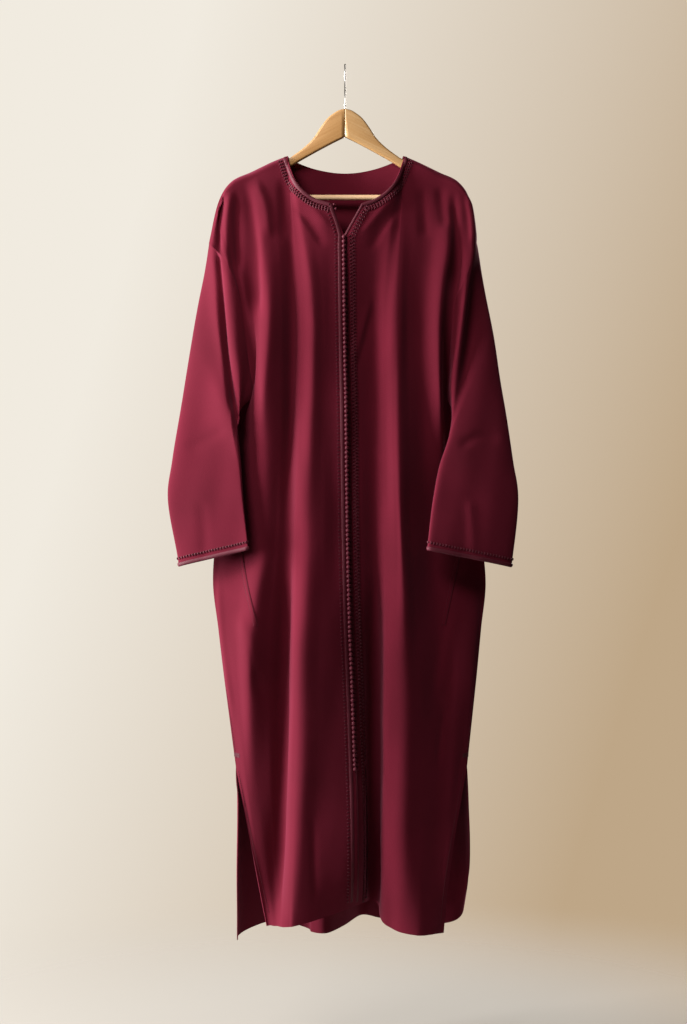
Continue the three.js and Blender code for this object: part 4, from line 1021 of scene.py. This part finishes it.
def stitched(face, path, facing=-1, pitch=TOPSTITCH_PITCH, **thread):
    """Stitches along a path of (x, z), with corners kept."""
    points, outs, ways = laid_on(face, path, pitch, facing, smooth=False)
    return stitches(points + outs * TOPSTITCH_LIFT, ways, outs, **(thread or TOPSTITCH))


def inset_column(grid, column, inset, first, last):
    """The (x, z) path at a distance along each row from one of a panel's side columns."""
    rows = grid[first:last] if column == 0 else grid[first:last, ::-1]
    return line_above(rows.swapaxes(0, 1)[::-1], inset)[:, [0, 2]]


vent_top = sum(ROW_PARTS[:VENT_ROW])
for side, sign, grid, face in FRONTS:
    seam = inset_column(grid, -1, SEAM_INSET, vent_top - SIDE_ROWS, vent_top)
    vent = inset_column(grid, -1, VENT_INSET, vent_top + ROW_ENDS, len(grid) - ROW_ENDS)
    parts = [stitched(face, seam), stitched(face, vent)]
    top_row = vent_top - BAR_TACK["rows_above_vent"]
    top = inset_column(grid, -1, BAR_TACK["inset"], top_row, vent_top)[0]
    for k in range(BAR_TACK["rows"]):
        start = top + np.array([0, -k * BAR_TACK["pitch"]])
        bar = [start, start - np.array([sign * BAR_TACK["length"], BAR_TACK["drop"]])]
        parts.append(stitched(face, bar, **BAR_THREAD))
    sewn_piece("seam_stitches_front_" + side, parts, braid, "braid")
parts = []
for column in (0, -1):
    vent = inset_column(back_grid, column, VENT_INSET, vent_top + ROW_ENDS, len(back_grid) - ROW_ENDS)
    parts.append(stitched(back_face, vent, 1))
hem = line_above(back_grid[:, HEM_ENDS:-HEM_ENDS], HEM_INSET)[:, [0, 2]]
parts.append(stitched(back_face, hem, 1))
sewn_piece("seam_stitches_back", parts, braid, "braid")

# ---- The hanger ----------------------------------------------------------------------------------
# Two arms of clear-lacquered beech, cut from board and glued in a mitre at the middle, with a
# turned bar between their tips. The arms' edges are rounded over with a router.
WOOD_THICKNESS = 12
WOOD_ROUND = 3.5
JOINT = 0.15  # half the glue line
BAR_Z = -245
BAR_RADIUS = 5
BAR_REACH = 207
BAR_STEPS = 60
OUTLINE_PARTS = 4  # points drawn for each point of the board's outline
ARM_SLOPE = math.radians(27)
WOOD_TOP = [
    (0, -80.5), (10, -82.5), (20, -88), (33, -98.6), (46, -116), (58.4, -135), (75.5, -152), (97, -168),
    (112, -176.5), (200, -217.5), (211, -223), (217, -231), (218, -241),
]
WOOD_BELOW = [
    (216, -250), (210, -254.5), (203, -253), (198, -246), (190, -233), (112, -194), (86, -178.5),
    (54, -160.5), (25, -145), (0, -132.6),
]


def lacquered_beech(name, slope, early, late):
    """Beech under clear satin lacquer: pale straight grain along the board, short dark flecks, and a
    smooth coat that gives a soft highlight on the rounded edges. slope is the grain's rise."""
    made, tree = new_material(name)
    place = add_node(tree, "ShaderNodeTexCoord").outputs["Object"]
    along = add_node(tree, "ShaderNodeMapping", inputs={"Vector": place, "Rotation": (0, slope, 0)})
    # Growth bands a few millimetres wide, drawn out thirty times along the grain.
    stretched = add_node(
        tree, "ShaderNodeMapping", inputs={"Vector": along.outputs[0], "Scale": (9, 260, 260)}
    )
    bands = add_node(
        tree, "ShaderNodeTexNoise", inputs={"Vector": stretched.outputs[0], "Scale": 1, "Detail": 4}
    )
    # Rays show as flecks about 0.8 mm by 5 mm.
    ray_place = add_node(
        tree, "ShaderNodeMapping", inputs={"Vector": along.outputs[0], "Scale": (200, 1200, 1200)}
    )
    rays = add_node(
        tree, "ShaderNodeTexNoise", inputs={"Vector": ray_place.outputs[0], "Scale": 1, "Detail": 1}
    )
    flecks = add_node(tree, "ShaderNodeMapRange", inputs={
        "Value": rays.outputs["Fac"], "From Min": 0.62, "From Max": 0.74, "To Min": 0, "To Max": 0.45,
    })
    grain = add_node(tree, "ShaderNodeMapRange", inputs={
        "Value": bands.outputs["Fac"], "From Min": 0.3, "From Max": 0.7,
    })
    wood = add_node(
        tree, "ShaderNodeMix", {"data_type": "RGBA"},
        {0: grain.outputs[0], 6: linear(early), 7: linear(late)},
    )
    colour = add_node(
        tree, "ShaderNodeMix", {"data_type": "RGBA"},
        {0: flecks.outputs[0], 6: wood.outputs[2], 7: linear("#A86F38")},
    )
    lacquer = add_node(tree, "ShaderNodeBsdfPrincipled", inputs={
        "Base Color": colour.outputs[2], "Roughness": 0.42, "Specular IOR Level": 0.45,
        "Coat Weight": 0.25, "Coat Roughness": 0.22,
    })
    add_node(tree, "ShaderNodeOutputMaterial", inputs={"Surface": lacquer.outputs[0]})
    return made


def board_outline():
    """The whole hanger's outline, its curves drawn finely and its corners kept."""
    half = np.concatenate([
        smooth_at(range(len(line)), line, spans([OUTLINE_PARTS] * (len(line) - 1)))
        for line in (WOOD_TOP, WOOD_BELOW)
    ])
    return np.concatenate([half, (half * (-1, 1))[::-1][1:-1]])


def rounded_board(outline, thickness, rounding, steps=5):
    """Rings of points round a board: the outline drawn in by the rounding at each face."""
    way = unit(np.roll(outline, -1, axis=0) - np.roll(outline, 1, axis=0))
    inward = np.column_stack([way[:, 1], -way[:, 0]])
    rings = []
    for side in (-1, 1):
        angles = np.linspace(0, math.pi / 2, steps + 1)
        for a in angles if side > 0 else angles[::-1]:
            drawn = outline + inward * rounding * (1 - math.cos(a))
            y = side * (thickness / 2 - rounding + rounding * math.sin(a))
            rings.append(np.column_stack([drawn[:, 0], np.full(len(outline), y), drawn[:, 1]]))
    return np.array(rings)


rings = rounded_board(board_outline(), WOOD_THICKNESS, WOOD_ROUND)
faces = capped(*quads_of(rings.shape[0], rings.shape[1], True))
arm_woods = {
    "left": lacquered_beech("lacquered_beech_left", ARM_SLOPE, "#B98D58", "#A97A45"),
    "right": lacquered_beech("lacquered_beech_right", -ARM_SLOPE, "#C09A6A", "#B18652"),
}
for side, sign in (("left", -1), ("right", 1)):
    arm = piece_from("hanger_arm_%s_wood" % side, rings.reshape(-1, 3), faces, arm_woods[side], 40)
    shape = bmesh.new()
    shape.from_mesh(arm.data)
    everything = shape.verts[:] + shape.edges[:] + shape.faces[:]
    bmesh.ops.bisect_plane(
        shape, geom=everything, plane_co=(sign * JOINT * MM, 0, 0), plane_no=(-sign, 0, 0), clear_outer=True
    )
    bmesh.ops.holes_fill(shape, edges=[e for e in shape.edges if e.is_boundary])
    shape.to_mesh(arm.data)
    shape.free()
    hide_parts("hanger_arm_" + side)
# The bar's beech is painted far paler and pinker than the arms'. This is painted light: it stands in for the
# light, and the red light thrown back by the cloth, that reach the bar inside the neck opening.
bar_wood_painted_light = lacquered_beech("lacquered_beech_bar_painted_light", 0, "#FFDCB4", "#F4C594")
axis = np.tile((0.0, 0.0, BAR_Z), (BAR_STEPS, 1))
axis[:, 0] = np.linspace(-BAR_REACH, BAR_REACH, BAR_STEPS)
forwards = np.tile((0, -1.0, 0), (BAR_STEPS, 1))
turned = cord_along(axis, forwards, BAR_RADIUS, BAR_RADIUS, sides=32)
sewn_piece("hanger_bar_wood", [turned], bar_wood_painted_light, "beech", "hanger_bar")

# ---- The hook ------------------------------------------------------------------------------------
# Steel wire, drawn to 3 mm and bent cold: a straight foot screwed into the wood, a swept neck and
# an open bend. It stands across the hanger, a little out of true.
WIRE = 1.5  # its radius
BEND = 21.5  # radius of the bend, to the middle of the wire
BEND_FROM, BEND_TO = -10, 212
BEND_STEPS = 48
STEM_STEPS = 40
STEM = [(0, -112), (0, -90), (0, -68), (3, -55), (11, -43), (18.2, -31.5)]


def drawn_wire(name):
    """Bright drawn steel: a grey metal with fine lines along the wire that blur its reflections."""
    made, tree = new_material(name)
    place = add_node(tree, "ShaderNodeTexCoord").outputs["Object"]
    # Die lines are far finer than 0.1 mm: they are drawn at about 0.6 mm across the wire.
    stretched = add_node(tree, "ShaderNodeMapping", inputs={"Vector": place, "Scale": (1600, 300, 60)})
    lines = add_node(
        tree, "ShaderNodeTexNoise", inputs={"Vector": stretched.outputs[0], "Scale": 1, "Detail": 3}
    )
    colour = add_node(
        tree, "ShaderNodeMix", {"data_type": "RGBA"},
        {0: lines.outputs["Fac"], 6: linear("#A9A6A0"), 7: linear("#CFCCC6")},
    )
    roughness = add_node(
        tree, "ShaderNodeMapRange", inputs={"Value": lines.outputs["Fac"], "To Min": 0.22, "To Max": 0.42}
    )
    metal = add_node(tree, "ShaderNodeBsdfPrincipled", inputs={
        "Base Color": colour.outputs[2], "Metallic": 1, "Roughness": roughness.outputs[0],
    })
    add_node(tree, "ShaderNodeOutputMaterial", inputs={"Surface": metal.outputs[0]})
    return made


turn = np.radians(np.linspace(BEND_FROM, BEND_TO, BEND_STEPS))
bend = np.column_stack([np.zeros(BEND_STEPS), BEND * np.cos(turn), WIRE - BEND + BEND * np.sin(turn)])
stem = np.array([(0, y, z) for y, z in STEM], float)
stem = smooth_at(range(len(stem)), stem, np.linspace(0, len(stem) - 1, STEM_STEPS))
points = np.concatenate([stem[:-1], bend])
hook = cord_along(points, np.tile((1.0, 0, 0), (len(points), 1)), WIRE, WIRE, sides=16)
sewn_piece("hook_wire", [hook], drawn_wire("drawn_steel_wire"), "steel", "hook")

# ---- The studio ----------------------------------------------------------------------------------
# A pale floor that fades into a pale surround on every side, one large soft light from the left,
# a weak fill from above and a wider one from behind.
FLOOR_Z = -1.84
FLOOR_RADIUS = 1.5
floor_paint, tree = new_material("pale_floor")
place = add_node(tree, "ShaderNodeTexCoord").outputs["Object"]
away = add_node(tree, "ShaderNodeVectorMath", {"operation": "LENGTH"}, {0: place})
edge = add_node(tree, "ShaderNodeMapRange", {"interpolation_type": "SMOOTHSTEP"}, {
    "Value": away.outputs["Value"], "From Min": 0.4, "From Max": FLOOR_RADIUS - 0.1,
})
matt = add_node(tree, "ShaderNodeBsdfPrincipled", inputs={
    "Base Color": linear("#A29E97"), "Roughness": 0.9, "Specular IOR Level": 0.1,
})
clear = add_node(tree, "ShaderNodeBsdfTransparent")
faded = add_node(
    tree, "ShaderNodeMixShader", inputs={0: edge.outputs[0], 1: matt.outputs[0], 2: clear.outputs[0]}
)
add_node(tree, "ShaderNodeOutputMaterial", inputs={"Surface": faded.outputs[0]})
disc = bmesh.new()
bmesh.ops.create_circle(disc, cap_ends=True, segments=96, radius=FLOOR_RADIUS)
floor_mesh = bpy.data.meshes.new("floor")
disc.to_mesh(floor_mesh)
disc.free()
floor_mesh.materials.append(floor_paint)
floor = bpy.data.objects.new("floor", floor_mesh)
floor.location = (0, 0, FLOOR_Z)
bpy.context.scene.collection.objects.link(floor)


def soft_light(name, place, aim, size, watts, colour):
    """A rectangular light at a place, turned to what it lights."""
    data = bpy.data.lights.new(name, "AREA")
    data.shape = "RECTANGLE"
    data.size, data.size_y = size
    data.energy = watts
    data.color = linear(colour)[:3]
    made = bpy.data.objects.new(name, data)
    made.location = place
    made.rotation_euler = (Vector(aim) - Vector(place)).to_track_quat("-Z", "Y").to_euler()
    made.visible_camera = False
    bpy.context.scene.collection.objects.link(made)


soft_light("window_light", (-3.6, -0.55, -0.3), (0, 0, -0.85), (1.8, 2.4), 520, "#FFFFFF")
soft_light("top_fill", (-0.9, -1.2, 0.6), (0, 0, -0.3), (0.9, 0.5), 24, "#FFF8F2")
soft_light("back_fill", (1.7, 2.6, 0.2), (0, 0, -0.85), (1.4, 1.8), 130, "#FFF8F2")
# The surround is paler on the left, where the window is, and gives little light itself.
surround = bpy.data.worlds.new("studio")
bpy.context.scene.world = surround
surround.use_nodes = True
tree = surround.node_tree
tree.nodes.clear()
way = add_node(tree, "ShaderNodeTexCoord").outputs["Generated"]
shade = add_node(
    tree, "ShaderNodeVectorMath", {"operation": "DOT_PRODUCT"}, {0: way, 1: (2.8, 0, -0.9)}
)
share = add_node(
    tree, "ShaderNodeMath", {"operation": "ADD", "use_clamp": True}, {0: shade.outputs["Value"], 1: 0.47}
)
pale = add_node(
    tree, "ShaderNodeMix", {"data_type": "RGBA"},
    {0: share.outputs[0], 6: linear("#F1EBE0"), 7: linear("#BEA687")},
)
seen = add_node(tree, "ShaderNodeBackground", inputs={"Color": pale.outputs[2], "Strength": 1})
# A dark screen on the right keeps the light of the room out of the folds that face it.
facing_left = add_node(
    tree, "ShaderNodeVectorMath", {"operation": "DOT_PRODUCT"}, {0: way, 1: (-0.7, -0.2, 0.1)}
)
unscreened = add_node(
    tree, "ShaderNodeMath", {"operation": "ADD", "use_clamp": True}, {0: facing_left.outputs["Value"], 1: 0.4}
)
room = add_node(
    tree, "ShaderNodeMath", {"operation": "MULTIPLY"}, {0: unscreened.outputs["Value"], 1: 0.22}
)
given = add_node(tree, "ShaderNodeBackground", inputs={
    "Color": linear("#E8DFD2"), "Strength": room.outputs["Value"],
})
ray = add_node(tree, "ShaderNodeLightPath")
both = add_node(tree, "ShaderNodeMixShader", inputs={
    0: ray.outputs["Is Camera Ray"], 1: given.outputs[0], 2: seen.outputs[0],
})
add_node(tree, "ShaderNodeOutputWorld", inputs={"Surface": both.outputs[0]})

CAMERA_AWAY = 3.3
FRAME_HEIGHT = 1.905  # what the frame takes in at the hanger's plane
camera = bpy.data.cameras.new("camera")
camera.lens = camera.sensor_width * CAMERA_AWAY / FRAME_HEIGHT
viewpoint = bpy.data.objects.new("camera", camera)
viewpoint.location = (-0.0028, -CAMERA_AWAY, -0.83)
viewpoint.rotation_euler = (math.radians(90), 0, 0)
bpy.context.scene.collection.objects.link(viewpoint)
bpy.context.scene.camera = viewpoint
bpy.context.scene.view_settings.view_transform = "Standard"
